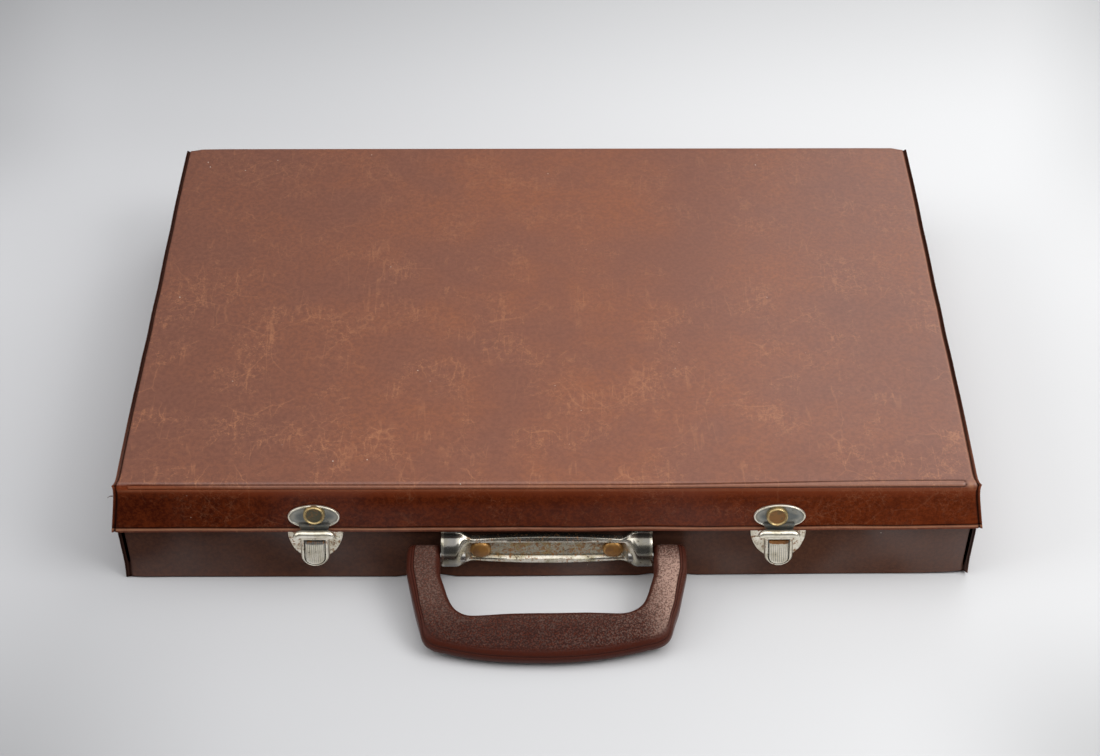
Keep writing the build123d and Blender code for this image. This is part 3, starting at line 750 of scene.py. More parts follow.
@dataclass(frozen=True)
class GrainedPlastic:
    """Moulded vinyl with a pebbled grain, smooth on its rims, with painted glints and sheen that are
    strongest on the right and painted shade in its grooves.
    """

    name: str
    body: Colour = (0.088, 0.0190, 0.0090)
    dark: Colour = (0.030, 0.0070, 0.0042)
    # Painted highlight colour of the glints and sheen.
    painted_highlight: Colour = (0.45, 0.290, 0.230)
    edge: Colour = (0.066, 0.0145, 0.0080)
    pebble_size: float = 0.00095
    fine_size: float = 0.0008
    cloud_size: float = 0.012
    pebble_depth: float = 0.00022

    def material(self) -> bpy.types.Material:
        """Builds the material; the rim mask and the mask of painted shade in the grooves come from the mesh.

        Returns:
            The material.
        """
        s = Shader(self.name)
        rim, groove = s.mask("rim"), s.mask("groove")
        pebble = s.cells(self.pebble_size)
        fine = s.clouds(self.fine_size, 2.0, 0.7)
        cloud = s.clouds(self.cloud_size, 3.0, 0.6)
        top = (pebble + fine * 0.35).rise(0.80, 0.28)
        across, along, _ = s.split()
        tone = s.mix(top, self.dark, self.body)
        # Painted light: glints and a sheen, strongest on the right arm by the grip, weaker on both arms and
        # the right half, none on the rims.
        bright = across.rise(0.041, 0.060) * along.rise(-0.134, -0.147)
        arms = along.rise(-0.182, -0.158)
        glint_amount = cloud.rise(0.25, 0.60) * 0.10 + arms * 0.10 + bright * 0.42
        glint_amount = glint_amount + across.rise(-0.02, 0.05) * 0.12
        grain = (fine + bright * 0.09).rise(0.46, 0.62)
        sheen_wash = arms * 0.09 + bright * 0.26
        tone = s.mix((grain * glint_amount + sheen_wash) * (1 - rim * 0.7), tone, self.painted_highlight)
        tone = s.mix(rim * 0.8, tone, self.edge)
        # Painted shade in the grooves near the rims.
        tone = s.mix(groove * 0.9, tone, self.dark)
        s.bump(top * (1 - rim), self.pebble_depth, 0.9)
        return s.finish(
            Base_Color=tone, Roughness=0.46 - top * 0.14 - rim * 0.06, Specular_IOR_Level=0.10
        )


@dataclass(frozen=True)
class OldSteel:
    """Plated steel with dark pits and rust where its masks say, a darker tone in hollows that is partly
    patina and partly painted shade, and painted shade and painted dark reflections where another mask says.
    """

    name: str
    plate: Colour = (0.94, 0.89, 0.77)
    tarnish: Colour = (0.66, 0.60, 0.46)
    rust: Colour = (0.36, 0.150, 0.034)
    pit: Colour = (0.045, 0.030, 0.018)
    # Darker tone of hollows: patina, and painted shade where the lock's parts lie in shadow.
    hollow: Colour = (0.135, 0.145, 0.140)
    # Painted shade and painted dark reflections.
    soot: Colour = (0.050, 0.050, 0.056)
    stain: Colour = (0.19, 0.185, 0.16)
    shine: float = 0.30
    rusting: float = 0.25
    pitting: float = 0.6
    cloud_size: float = 0.006
    fine_size: float = 0.0016
    stain_size: float = 0.0042
    pit_size: float = 0.0019
    pit_depth: float = 0.00012

    def material(self) -> bpy.types.Material:
        """Builds the material; the masks for rust, for hollows with patina and painted shade, and for
        painted shade and painted dark reflections come from the mesh.

        Returns:
            The material.
        """
        s = Shader(self.name)
        hollow, rusty, soot = s.mask("hollow"), s.mask("rust"), s.mask("soot")
        cloud = s.clouds(self.cloud_size, 4.0, 0.65)
        fine = s.clouds(self.fine_size, 4.0, 0.7)
        tone = s.mix(cloud.rise(0.35, 0.7), self.plate, self.tarnish)
        patch = s.clouds(self.stain_size, 4.0, 0.65).rise(0.47, 0.60)
        # Hollows: patina, and painted shade where the mesh's mask puts it.
        tone = s.mix(hollow, tone, s.mix(patch, self.hollow, self.stain))
        # Painted shade and painted dark reflections where the mesh's mask puts them.
        tone = s.mix(soot, tone, s.mix(cloud.rise(0.35, 0.75) * 0.35, self.soot, self.hollow))
        rust = (fine + rusty * 0.42).rise(0.70 - 0.1 * self.rusting, 0.86 - 0.1 * self.rusting)
        tone = s.mix(rust, tone, s.mix(cloud.rise(0.45, 0.85), self.rust, self.pit))
        spots = s.cells(self.pit_size).rise(0.26, 0.14) * cloud.rise(0.50, 0.60) * self.pitting
        tone = s.mix(spots, tone, self.pit)
        stain = (rust + spots).rise(0.0, 1.0)
        s.bump(fine * 0.5 - spots, self.pit_depth, 0.5)
        return s.finish(
            Base_Color=tone,
            Metallic=0.88 - stain * 0.45 - hollow * 0.40,
            Roughness=cloud * 0.16 + self.shine * 0.75 + stain * 0.35,
        )


@dataclass(frozen=True)
class OldBrass:
    """A tarnished rivet cap whose middle is darker than its rim."""

    name: str
    rim: Colour = (0.56, 0.42, 0.20)
    cap: Colour = (0.085, 0.078, 0.045)
    rust: Colour = (0.26, 0.12, 0.035)
    rusting: float = 0.3
    dirt_size: float = 0.0016
    cloud_size: float = 0.004
    dirt_depth: float = 0.00015

    def material(self) -> bpy.types.Material:
        """Builds the material; the mask cap rises towards each rivet's middle.

        Returns:
            The material.
        """
        s = Shader(self.name)
        cap = s.mask("cap").rise(0.16, 0.30)
        dirt = s.clouds(self.dirt_size, 4.0, 0.7)
        cloud = s.clouds(self.cloud_size, 3.0, 0.6)
        rust = cloud.rise(0.62 - 0.4 * self.rusting, 0.86 - 0.4 * self.rusting)
        middle = s.mix(rust, self.cap, self.rust)
        tone = s.mix(cap, self.rim, middle)
        tone = s.mix(dirt.rise(0.50, 0.72) * 0.6, tone, self.rust)
        s.bump(dirt, self.dirt_depth, 0.5)
        return s.finish(
            Base_Color=tone, Metallic=0.85 - cap * 0.45, Roughness=dirt * 0.3 + 0.25 + cap * 0.12
        )


@dataclass(frozen=True)
class Plain:
    """A matt finish with soft blotches and a fine grain: board, paper, felt or plastic."""

    name: str
    tone: Colour
    other: Colour
    blotch: float = 0.03
    grain: float = 0.0006
    depth: float = 0.0001
    stretch: Triple = (1.0, 1.0, 1.0)
    rough: float = 0.7
    metal: float = 0.0
    specular: float = 0.4

    def material(self) -> bpy.types.Material:
        """Builds the material.

        Returns:
            The material.
        """
        s = Shader(self.name)
        fine = s.clouds(self.grain, 3.0, 0.7, s.stretch(self.stretch))
        factor = s.clouds(self.blotch, 3.0) * 0.6 + fine * 0.4
        tone = s.mix(factor.rise(0.36, 0.64), self.tone, self.other)
        s.bump(fine, self.depth, 0.7)
        return s.finish(
            Base_Color=tone,
            Roughness=fine * 0.15 + self.rough - 0.08,
            Metallic=self.metal,
            Specular_IOR_Level=self.specular,
        )


class Finishes:
    """Every material of the case, built once."""

    def __init__(self) -> None:
        """Builds them."""
        lid = Vinyl("lid_vinyl")
        base = Vinyl(
            "base_vinyl",
            hide=(0.060, 0.026, 0.019),
            shade=(0.050, 0.022, 0.017),
            warm=(0.080, 0.034, 0.020),
            vein=(0.15, 0.068, 0.040),
            # The base's upright walls: painted shade on the left, lit on the right.
            front_in_shade=(0.062, 0.029, 0.0215),
            front_in_light=(0.112, 0.046, 0.027),
            worn=(0.15, 0.050, 0.024),
            low_sheen=1.0,
            hem_sheen=0.0,
            sheen=0.85,
            marks=0.45,
        )
        self.lid = lid.material()
        self.base = base.material()
        self.handle = GrainedPlastic("handle_plastic").material()
        self.lock = OldSteel("lock_steel").material()
        self.bracket = OldSteel(
            "bracket_steel",
            plate=(0.74, 0.69, 0.60),
            tarnish=(0.40, 0.36, 0.25),
            hollow=(0.35, 0.315, 0.235),
            stain=(0.31, 0.215, 0.090),
            shine=0.16,
            rusting=0.4,
            pitting=0.6,
        ).material()
        self.hasp_rivets = {
            "left": OldBrass("hasp_rivet_brass").material(),
            "right": OldBrass("hasp_rivet_rusty", rusting=0.95).material(),
        }
        self.bracket_rivet = OldBrass(
            "bracket_rivet_brass", rim=(0.56, 0.30, 0.10), cap=(0.34, 0.150, 0.028), rusting=0.5
        ).material()
        self.board = Plain(
            "hardboard", (0.20, 0.105, 0.050), (0.29, 0.165, 0.085), grain=0.0009, rough=0.75
        ).material()
        self.liner = Plain(
            "red_paper", (0.27, 0.024, 0.020), (0.34, 0.040, 0.030), rough=0.6
        ).material()
        self.felt = Plain(
            "red_felt", (0.22, 0.018, 0.016), (0.33, 0.034, 0.028), grain=0.0008,
            depth=0.0003, rough=0.95, specular=0.1,
        ).material()
        self.tray = Plain(
            "green_plastic", (0.012, 0.085, 0.045), (0.016, 0.105, 0.058), grain=0.0012,
            depth=0.00004, rough=0.38,
        ).material()
        self.steel = Plain(
            "bright_steel", (0.50, 0.49, 0.46), (0.40, 0.38, 0.35), blotch=0.006, grain=0.0004,
            depth=0.00002, rough=0.34, metal=1.0,
        ).material()


def dress(
    made: bpy.types.Object,
    material: bpy.types.Material,
    slot: Slot,
    body: Body,
    *stands_for: str,
) -> None:
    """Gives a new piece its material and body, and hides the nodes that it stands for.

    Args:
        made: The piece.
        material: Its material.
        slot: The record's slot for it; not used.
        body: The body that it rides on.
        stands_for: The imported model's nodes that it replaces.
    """
    made.data.materials.clear()
    made.data.materials.append(material)
    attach(made, body.value)
    if stands_for:
        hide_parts(*stands_for)
    LOG.info("%s: %d faces on %s", made.name, len(made.data.polygons), body.value)


# ------------------------------------------------------------------ the covers
@dataclass
class CaseSizes:
    """Sizes that the covers share, in millimetres."""

    front: float = -131.0
    back: float = 131.0
    height: float = 57.6
    wall_x: float = 193.0
    cover_x: float = 194.2
    fin: float = 1.4
    sheet: float = 0.8
    hem_z: float = 31.0
    front_slope: float = 3.3 / 26.6
    side_slope: float = 2.8 / 26.6
    cover_slope: float = 3.9 / 26.6
    base_spread: float = 2.6
    hem_lift: float = 0.5
    hem_rise: float = 1.5
    base_slope: float = 0.030
    base_rim_z: float = 33.4
    fin_top_z: float = 30.9
    hinge_low: float = 27.0
    hinge_high: float = 35.0
    hinge_z: float = 31.0
    step_low: float = 29.4
    step_high: float = 31.2

    def skirt_front(self, z: float) -> float:
        """Y of the outside of the lid's front skirt at a height."""
        return self.front - self.front_slope * (self.height - z)

    def skirt_side(self, z: np.ndarray | float) -> np.ndarray | float:
        """X of the outside of the lid's side board at a height, on the right."""
        return self.wall_x + self.side_slope * (self.height - z)

    def lid_side(self, z: np.ndarray | float) -> np.ndarray | float:
        """X of the outside of the lid's side cover, which stands off its board."""
        return self.cover_x + self.cover_slope * (self.height - z)

    def hem_raise(self, x: np.ndarray | float, above: np.ndarray) -> np.ndarray:
        """How far the lid's lower edge is drawn up, more on the right, less higher up the skirt.

        Args:
            x: Places across the lid.
            above: Heights above its lower edge.

        Returns:
            The rise of each place.
        """
        across = x / (2 * self.wall_x) + 0.5
        level = self.hem_lift + self.hem_rise * (0.5 * across + 0.6 * across**8)
        return level * np.clip(1 - above / 18.0, 0, 1)

    def base_side(self, z: np.ndarray) -> np.ndarray:
        """X of the outside of the base's side cover, which steps in to pass inside the lid."""
        return self.wall_x + (self.base_spread + self.base_slope * z) * self.below_step(z)

    def below_step(self, z: np.ndarray) -> np.ndarray:
        """1 below the step where the base's cover goes inside the lid, and 0 above it."""
        return 1 - smooth(self.step_low, self.step_high, z)


EDGE_COLUMNS = (
    0.0, 0.3, 0.6, 0.8, 0.95, 1.1, 1.25, 1.4, 1.55, 1.75, 2.0, 2.4, 2.9, 3.6, 4.4,
    5.2, 6.0, 6.8, 7.6, 8.4, 9.2, 10.0, 11.2, 13.0,
)


def columns(reach: np.ndarray, pitch: float = 6.0) -> tuple[np.ndarray, np.ndarray]:
    """X of a sheet's columns, dense at both side edges.

    Args:
        reach: How far the sheet reaches to each side, one value for each row.
        pitch: The spacing of the columns between the edges.

    Returns:
        X, and the distance from the nearer side edge, both as rows by columns.
    """
    edge = np.array(EDGE_COLUMNS)
    inner = float(reach.min()) - edge[-1] - pitch / 2
    middle = np.linspace(-inner, inner, int(2 * inner / pitch) + 1)
    right = reach[:, None] - edge[None, ::-1]
    x = np.concatenate([-right[:, ::-1], np.tile(middle, (len(reach), 1)), right], axis=1)
    return x, reach[:, None] - np.abs(x)


def end_panel(
    name: str,
    place: np.ndarray,
    lift: np.ndarray,
    side: int,
    inside_x: np.ndarray | float,
    masks: Mapping[str, np.ndarray],
) -> bpy.types.Object:
    """Makes a side cover, which is a closed sheet that faces left or right.

    Args:
        name: The object's name.
        place: A grid of points on its outside, before the lift.
        lift: How far each point stands out.
        side: -1 on the left, 1 on the right.
        inside_x: X of the inside, on the right.
        masks: Values for the points.

    Returns:
        The new object.
    """
    outer = place + np.array([side, 0, 0]) * lift[..., None]
    inner = place.copy()
    inner[..., 0] = side * inside_x
    panel = Piece(name)
    panel.add_sheet(outer, inner, masks)
    return panel.make(VINYL_SHARP)


@dataclass
class LidCover:
    """The lid's sheet, with its welded fins, its hem and the weld along its front edge."""

    case: CaseSizes
    thickness: float = 0.8
    fin_thickness: float = 1.5
    front_bend: float = 3.6
    back_bend: float = 1.5
    fin_bend: float = 1.2
    puff: float = 2.0
    weld_depth: float = 0.55
    weld_end: float = 190.0
    weld_half: float = 1.0
    fin_weld: float = 1.42
    hem_top: float = 2.25
    thread_sides: int = 6

    def _rows(self, path: Path) -> np.ndarray:
        """Distances along the path for the rows, dense at the hem and at both bends.

        Args:
            path: The path of the sheet's outside.

        Returns:
            The distances.
        """
        front, back = path.bends
        hem = [0, 0.3, 0.8, 1.3, 1.7, 1.95, 2.2, 2.45, 2.75, 3.2, 4.0]
        skirt = np.linspace(6.0, front[0] - 1.6, 7)
        fold = np.linspace(front[0] - 1.0, front[1] + 1.0, 34)
        top = np.concatenate([np.linspace(front[1] + 2.2, front[1] + 20, 7),
                              np.linspace(front[1] + 26.0, back[0] - 24.0, 34),
                              np.linspace(back[0] - 19, back[0] - 1.5, 7)])
        rear = np.linspace(back[0] - 0.6, back[1] + 0.6, 10)
        wall = np.linspace(back[1] + 2.5, path.length - 1.5, 7)
        return np.concatenate([hem, skirt, fold, top, rear, wall, [path.length]])

    def build(self, finish: bpy.types.Material) -> None:
        """Makes the sheet and both side skirts.

        Args:
            finish: The vinyl.
        """
        c = self.case
        corners = [
            (c.skirt_front(c.hem_z), c.hem_z),
            (c.front, c.height),
            (c.back, c.height),
            (c.back, c.hinge_high),
        ]
        path = Path(corners, (self.front_bend, self.back_bend))
        square = Path(corners, (self.fin_bend, self.fin_bend))
        s = self._rows(path)
        front, back = path.bends
        yz = path.at(s)
        fold_middle = (front[0] + front[1]) / 2
        reach = c.lid_side(yz[:, 1]) + c.fin
        reach = reach + 1.1 * bell(s, fold_middle, 3.2)
        wavy = ripple(np.stack([0 * s, yz[:, 0], yz[:, 1]], -1), 24.0, 9.0)
        x, e = columns(reach + 0.3 * wavy)
        rows = np.broadcast_to(s[:, None], x.shape)
        fin = (1 - smooth(0.9, 1.9, e))[..., None]
        yz_fin = square.at(path.match(square, s))
        yz_all = yz[:, None, :] * (1 - fin) + yz_fin[:, None, :] * fin
        base = np.concatenate([x[..., None], yz_all], -1)
        out = np.zeros(x.shape + (3,))
        out[..., 1:] = path.normal(s, 1)[:, None, :]
        on_top = smooth(front[0], front[1], rows) * (1 - smooth(back[0], back[1], rows))
        early = 1.8 * (1 - smooth(-188.0, -125.0, x))
        on_skirt = 1 - smooth(front[0] + 0.5, front[0] + 2.5, rows - early)
        on_fin = 1 - smooth(0.75, 1.25, e)

        weld = bell(e, self.fin_weld, 0.50)
        lift = -self.weld_depth * weld
        lift += 0.16 * ripple(base, 17.0, 3.1) * on_fin
        lift += self._puff(base, rows, e, path) + self._fold(x, rows, path)
        hem_line = bell(rows, self.hem_top, 0.30)
        hem = 1 - smooth(1.7, 2.2, rows)
        wave = ripple(base * np.array([1, 0, 0]), 30.0, 7.0)
        lift += 0.32 * hem - 0.40 * hem_line + 0.2 * hem * wave
        lift -= 0.30 * dents(base, 38.0, 2.0) * on_skirt * smooth(2.4, 6, rows)
        outer = base + out * lift[..., None]
        depth = np.where((e < 1.2) & (rows < back[0]), self.fin_thickness, self.thickness)
        inner = base - out * depth[..., None]
        outer[..., 1] = np.minimum(outer[..., 1], c.back - 0.1)
        drawn = c.hem_raise(x, rows)
        drawn += 0.42 * wave * (1 - smooth(1.9, 5.0, rows)) * (1 - 0.5 * smooth(150, 190, np.abs(x)))
        outer[..., 2] += drawn
        inner[..., 2] += drawn

        lines, strip = self._weld_lines(x, rows, path)
        patchy = dents(base * np.array([1, 0, 0]), 6.0, 13.0)
        # Painted shade: the weld groove by the fins, the groove above the hem and the pressed lines on the
        # fold.
        groove = 0.98 * weld + 0.9 * hem_line * on_skirt + lines * (0.14 + 0.56 * smooth(-20, 185, x))
        # Painted shade on the top's fins, deeper towards the back.
        groove += 0.86 * on_fin * on_top * (0.35 + 0.65 * smooth(-126.0, -60.0, base[..., 1]))
        # Wear, and painted highlights: a lit line along the hem's upper edge and along the pressed strip.
        worn = bell(rows, 1.45, 0.40) * (0.7 + 0.8 * patchy) + 0.25 * strip
        # Painted highlights along the fold's edge and the fins' outer edges.
        fold_highlight = 0.30 * bell(rows, front[0] + 0.2, 0.7) * (0.4 + 0.6 * patchy)
        worn += 0.5 * bell(e, 0.15, 0.3) * patchy + fold_highlight
        # Painted sheen beside the weld's right end, and a painted highlight beside the fin on the top's
        # right half.
        worn += 0.9 * bell(x, self.weld_end + 1.9, 1.3) * bell(rows, fold_middle, 1.6)
        worn += 0.45 * bell(e, 2.45, 0.4) * (x > 0) * on_top
        skirt = np.clip(on_skirt + smooth(back[0], back[1], rows), 0, 1) * (1 - 0.25 * hem)
        masks = {
            "groove": np.clip(groove, 0, 1),
            "worn": np.clip(worn, 0, 1),
            # The fins take the upright faces' darker colour, partly painted shade.
            "front": np.maximum(skirt, 0.62 * on_fin),
            # Painted light: where the lit band below the front fold lies.
            "fold": bell(rows - early, front[0] - 0.6, 2.4),
        }
        cover = Piece("lid_skin")
        cover.add_sheet(outer, inner, masks)
        self._thread(cover)
        dress(cover.make(VINYL_SHARP), finish, Slot.LID_VINYL, Body.LID, "lid_wrap")
        for word, side in SIDES.items():
            self._side(word, side, finish)

    def _thread(self, cover: Piece) -> None:
        """Adds the end of a loose thread that sticks out of the left fin.

        Args:
            cover: The sheet's piece.
        """
        line = spline([(-196.6, -132.0, 52.2), (-197.8, -132.5, 52.6), (-198.9, -133.1, 52.1)], 4)
        turns = full_turn(self.thread_sides)
        round_off = np.stack([0 * turns, np.cos(turns), np.sin(turns)], -1)
        radii = np.linspace(0.26, 0.12, len(line))
        rings = line[:, None, :] + round_off[None] * radii[:, None, None]
        # The thread's own dark colour, through the grooves' dark mask.
        cover.add_rings(rings, {"groove": 0.75 * np.ones(rings.shape[:2])})

    def _puff(self, base: np.ndarray, rows: np.ndarray, e: np.ndarray, path: Path) -> np.ndarray:
        """How far the top's vinyl stands off the board, more towards the back edge.

        Args:
            base: The points before they are moved.
            rows: Distances along the path.
            e: Distances from the nearer side edge.
            path: The path of the sheet's outside.

        Returns:
            The rise of each point.
        """
        front, back = path.bends
        soft = dents(base, 70.0, 11.0)
        pucker = dents(base, 15.0, 5.0) * (1 - smooth(4.0, 24.0, e))
        ahead = smooth(front[1] - 2.0, front[1] + 26.0, rows)
        rise = self.puff * (0.45 + 0.55 * smooth(path.length * 0.4, back[0] - 12, rows))
        rise = rise - 0.35 * soft * (1 - smooth(back[0] - 40, back[0] - 8, rows)) - 0.30 * pucker
        inside = 0.55 + 0.45 * smooth(1.3, 2.6, e) * smooth(1.9, 9.0, e)
        behind = 1 - smooth(back[0] + 0.8, back[1] + 0.6, rows)
        return rise * ahead * inside * behind

    def _weld_lines(self, x: np.ndarray, rows: np.ndarray, path: Path) -> tuple[np.ndarray, np.ndarray]:
        """The two pressed lines along the front fold, which join at round ends, and their strip.

        Args:
            x: X of the points.
            rows: Distances along the path.
            path: The path of the sheet's outside.

        Returns:
            Masks of the lines and of the strip.
        """
        low, high = path.bends[0]
        middle = low + 0.36 * (high - low)
        across = np.abs(rows - middle - 1.5 * smooth(20, 180, x))
        half = self.weld_half + 0.75 * smooth(60, 180, x)
        past = np.maximum(np.abs(x) - (self.weld_end - half), 0)
        away = np.hypot(across, past) - half
        return bell(away, 0.0, 0.30), 1 - smooth(-0.5, -0.2, away)

    def _fold(self, x: np.ndarray, rows: np.ndarray, path: Path) -> np.ndarray:
        """The rise and fall of the pressed lines on the front fold."""
        lines, strip = self._weld_lines(x, rows, path)
        return 0.10 * strip - 0.45 * lines

    def _side(self, word: str, side: int, finish: bpy.types.Material) -> None:
        """Makes one side skirt: a panel with a weld line round it, inside the fins.

        Args:
            word: The side's name.
            side: -1 on the left, 1 on the right.
            finish: The vinyl.
        """
        c = self.case
        z_low, z_high = c.hem_z, c.height - c.sheet
        z = np.concatenate(
            [[z_low, z_low + 0.4, z_low + 1.2, z_low + 1.8, z_low + 2.2, z_low + 2.6, z_low + 3.4],
             np.linspace(z_low + 5, z_high - 4.5, 8),
             [z_high - 3.2, z_high - 2.4, z_high - 1.6, z_high - 0.8, z_high]]
        )
        y_low = np.array([c.skirt_front(v) + 2 * c.sheet for v in z])
        y_high = np.full(len(z), c.back - c.sheet)
        edge = np.array([0, 0.5, 1.0, 1.5, 2.0, 2.6, 3.4, 5.0])
        middle = np.linspace(0, 1, 44)[1:-1]
        y = np.stack(
            [np.concatenate([a + edge, a + 5 + (b - a - 10) * middle, b - edge[::-1]])
             for a, b in zip(y_low, y_high)]
        )
        zz = np.broadcast_to(z[:, None], y.shape)
        drawn = c.hem_raise(side * c.wall_x, zz - z_low) * (c.back - y) / (c.back - c.front)
        place = np.stack([side * c.lid_side(zz), y, zz + drawn], -1)
        rim = np.minimum(np.minimum(y - y_low[:, None], y_high[:, None] - y), z_high - zz)
        hem_line = bell(zz, z_low + 2.2, 0.3)
        hem = 1 - smooth(z_low + 1.7, z_low + 2.1, zz)
        lift = -0.4 * bell(rim, 1.0, 0.5) - 0.3 * hem_line + 0.1 * hem
        lift -= 0.30 * dents(place, 40.0, 8.0) * smooth(3, 12, rim)
        masks = {
            # Painted shade in the weld groove round the panel and above the hem.
            "groove": np.clip(0.8 * bell(rim, 1.0, 0.5) + 0.8 * hem_line, 0, 1),
            # Painted highlight on the side skirts' hem.
            "worn": 0.7 * hem * (1 - hem_line),
            "front": 1 - 0.8 * hem,
        }
        made = end_panel(f"lid_end_{word}", place, lift, side, c.skirt_side(zz) - c.sheet, masks)
        dress(made, finish, Slot.LID_VINYL, Body.LID, f"lid_side_{word}")


@dataclass
class BaseCover:
    """The base's sheet, its side walls and the hinge strip."""

    case: CaseSizes
    fin_thickness: float = 1.5
    front_bend: float = 1.2
    back_bend: float = 1.9
    fin_weld: float = 1.85
    bulge: float = 2.3
    bulge_fall: float = 1.6
    bulge_height: float = 5.0
    curl: float = 1.2
    corner_lift: float = 1.2
    fold: float = 1.45

    def build(self, finish: bpy.types.Material) -> None:
        """Makes the pieces.

        Args:
            finish: The vinyl.
        """
        self._wrap(finish)
        for word, side in SIDES.items():
            self._side(word, side, finish)
        self._hinge(finish)

    def _wrap(self, finish: bpy.types.Material) -> None:
        """Makes the sheet of the front wall, the bottom and the back wall.

        Args:
            finish: The vinyl.
        """
        c = self.case
        corners = [
            (c.front, c.base_rim_z), (c.front, 0.0), (c.back, 0.0), (c.back, c.hinge_low),
        ]
        path = Path(corners, (self.front_bend, self.back_bend))
        front, back = path.bends
        s = np.concatenate(
            [[0, 1.0, 1.8, 2.3, 2.7, 3.1, 3.6, 4.4],
             np.linspace(6.0, front[0] - 1.5, 9),
             np.linspace(front[0] - 0.7, front[1] + 1.5, 10),
             np.linspace(front[1] + 5, back[0] - 4, 24),
             np.linspace(back[0] - 1, back[1] + 1, 10),
             np.linspace(back[1] + 3, path.length, 8)]
        )
        yz = path.at(s)
        normal = path.normal(s, -1)
        fin = 1 - smooth(c.fin_top_z - 0.6, c.fin_top_z + 0.2, yz[:, 1])
        reach = c.base_side(yz[:, 1]) + c.fin * fin
        x, e = columns(reach, 7.0)
        rows = np.broadcast_to(s[:, None], x.shape)
        y = np.broadcast_to(yz[:, :1], x.shape)
        z = np.broadcast_to(yz[:, 1:], x.shape)
        base = np.stack([x, y, z], -1)
        out = np.zeros(x.shape + (3,))
        out[..., 1:] = normal[:, None, :]
        upright = (1 - smooth(front[0], front[1], rows)) + smooth(back[0], back[1], rows)
        below = c.below_step(z)
        weld = bell(e, self.fin_weld, 0.95) * below
        lift = -1.0 * weld * upright
        lift -= 0.45 * (1 - smooth(2.8, 9.0, e)) * smooth(1.6, 2.5, e) * upright * below
        lift -= 0.30 * dents(base, 45.0, 21.0) * upright * smooth(4, 20, e)
        bottom_edge = bell(z, 0.0, self.bulge_height) * (y < 0)
        curl = smooth(195.4, 197.4, x) * bottom_edge
        outer = base + out * lift[..., None]
        by_arms = smooth(45.5, 48.8, np.abs(x)) * (1 - smooth(62.6, 65.5, np.abs(x)))
        spread = (self.bulge - self.bulge_fall * smooth(-60.0, 190.0, x)) * bottom_edge
        spread = spread * (1 - 0.65 * by_arms) + self.curl * curl
        outer[..., 1] -= spread
        outer[..., 1] = np.minimum(outer[..., 1], c.back - 0.05)
        corner = smooth(174.0, 195.0, x) * bell(z, 0.0, 4.0) * (1 - smooth(-131.2, -105.0, y))
        outer[..., 2] += self.corner_lift * corner
        outer[..., 2] = np.maximum(outer[..., 2], 0.0)
        depth = np.where((e < 1.3) & (below > 0.5) & (rows < back[0]), self.fin_thickness, c.sheet)
        inner = base - out * depth[..., None]
        inner[..., 1] -= spread * (e < 1.3)
        on_fin = (1 - smooth(0.6, 1.2, e)) * upright * below * (1 - 0.7 * bell(e, 0.0, 0.35))
        # Painted shade: the weld groove, a contact shadow along the floor line, and the fins.
        groove = 0.95 * weld * upright + 0.95 * bell(z, 0.0, 0.8) * (upright > 0.2) + 0.90 * on_fin
        # Painted shadow under the lid's lip, across the middle of the front wall.
        shadow_under_lid = smooth(23.5, 29.0, z) * (1 - smooth(48.0, 84.0, np.abs(x))) * (y < 0)
        groove = np.maximum(groove, 0.72 * shadow_under_lid)
        # Painted highlights: a lit line along the front's bottom edge, and the curled corner.
        painted_highlight = 0.35 * bell(z, 1.5, 0.5) * (y < 0) + 0.9 * curl
        masks = {
            "groove": np.clip(groove * (1 - curl), 0, 1),
            "worn": np.clip(painted_highlight, 0, 1),
            "front": np.clip(upright, 0, 1),
        }
        cover = Piece("base_skin")
        cover.add_sheet(outer, inner, masks)
        dress(cover.make(VINYL_SHARP), finish, Slot.BASE_VINYL, Body.BASE, "base_wrap")

    def _side(self, word: str, side: int, finish: bpy.types.Material) -> None:
        """Makes one side wall, inside the fins.

        Args:
            word: The side's name.
            side: -1 on the left, 1 on the right.
            finish: The vinyl.
        """
        c = self.case
        z = np.concatenate(
            [[c.sheet, 1.3, 1.9, 2.5, 3.2, 4.4],
             np.linspace(6.5, 28.0, 7),
             [29.2, 29.9, 30.5, c.step_high, c.base_rim_z]]
        )
        reach = c.back - c.sheet
        edge = np.array([0, 0.5, 1.0, 1.5, 2.2, 3.2, 5.0])
        y = np.concatenate([-reach + edge, np.linspace(-reach + 9, reach - 9, 40), reach - edge[::-1]])
        zz, yy = np.meshgrid(z, y, indexing="ij")
        place = np.stack([side * c.base_side(zz), yy, zz], -1)
        rim = np.minimum(reach - np.abs(yy), zz - c.sheet)
        lift = -0.35 * bell(rim, 1.0, 0.5)
        lift -= 0.30 * dents(place, 42.0, 31.0) * smooth(3, 12, rim)
        # Painted shade in the weld groove round the panel.
        masks = {"groove": 0.8 * bell(rim, 1.0, 0.5), "worn": 0 * rim, "front": 1 + 0 * rim}
        made = end_panel(f"base_end_{word}", place, lift, side, c.wall_x - c.sheet, masks)
        dress(made, finish, Slot.BASE_VINYL, Body.BASE, f"base_side_{word}")

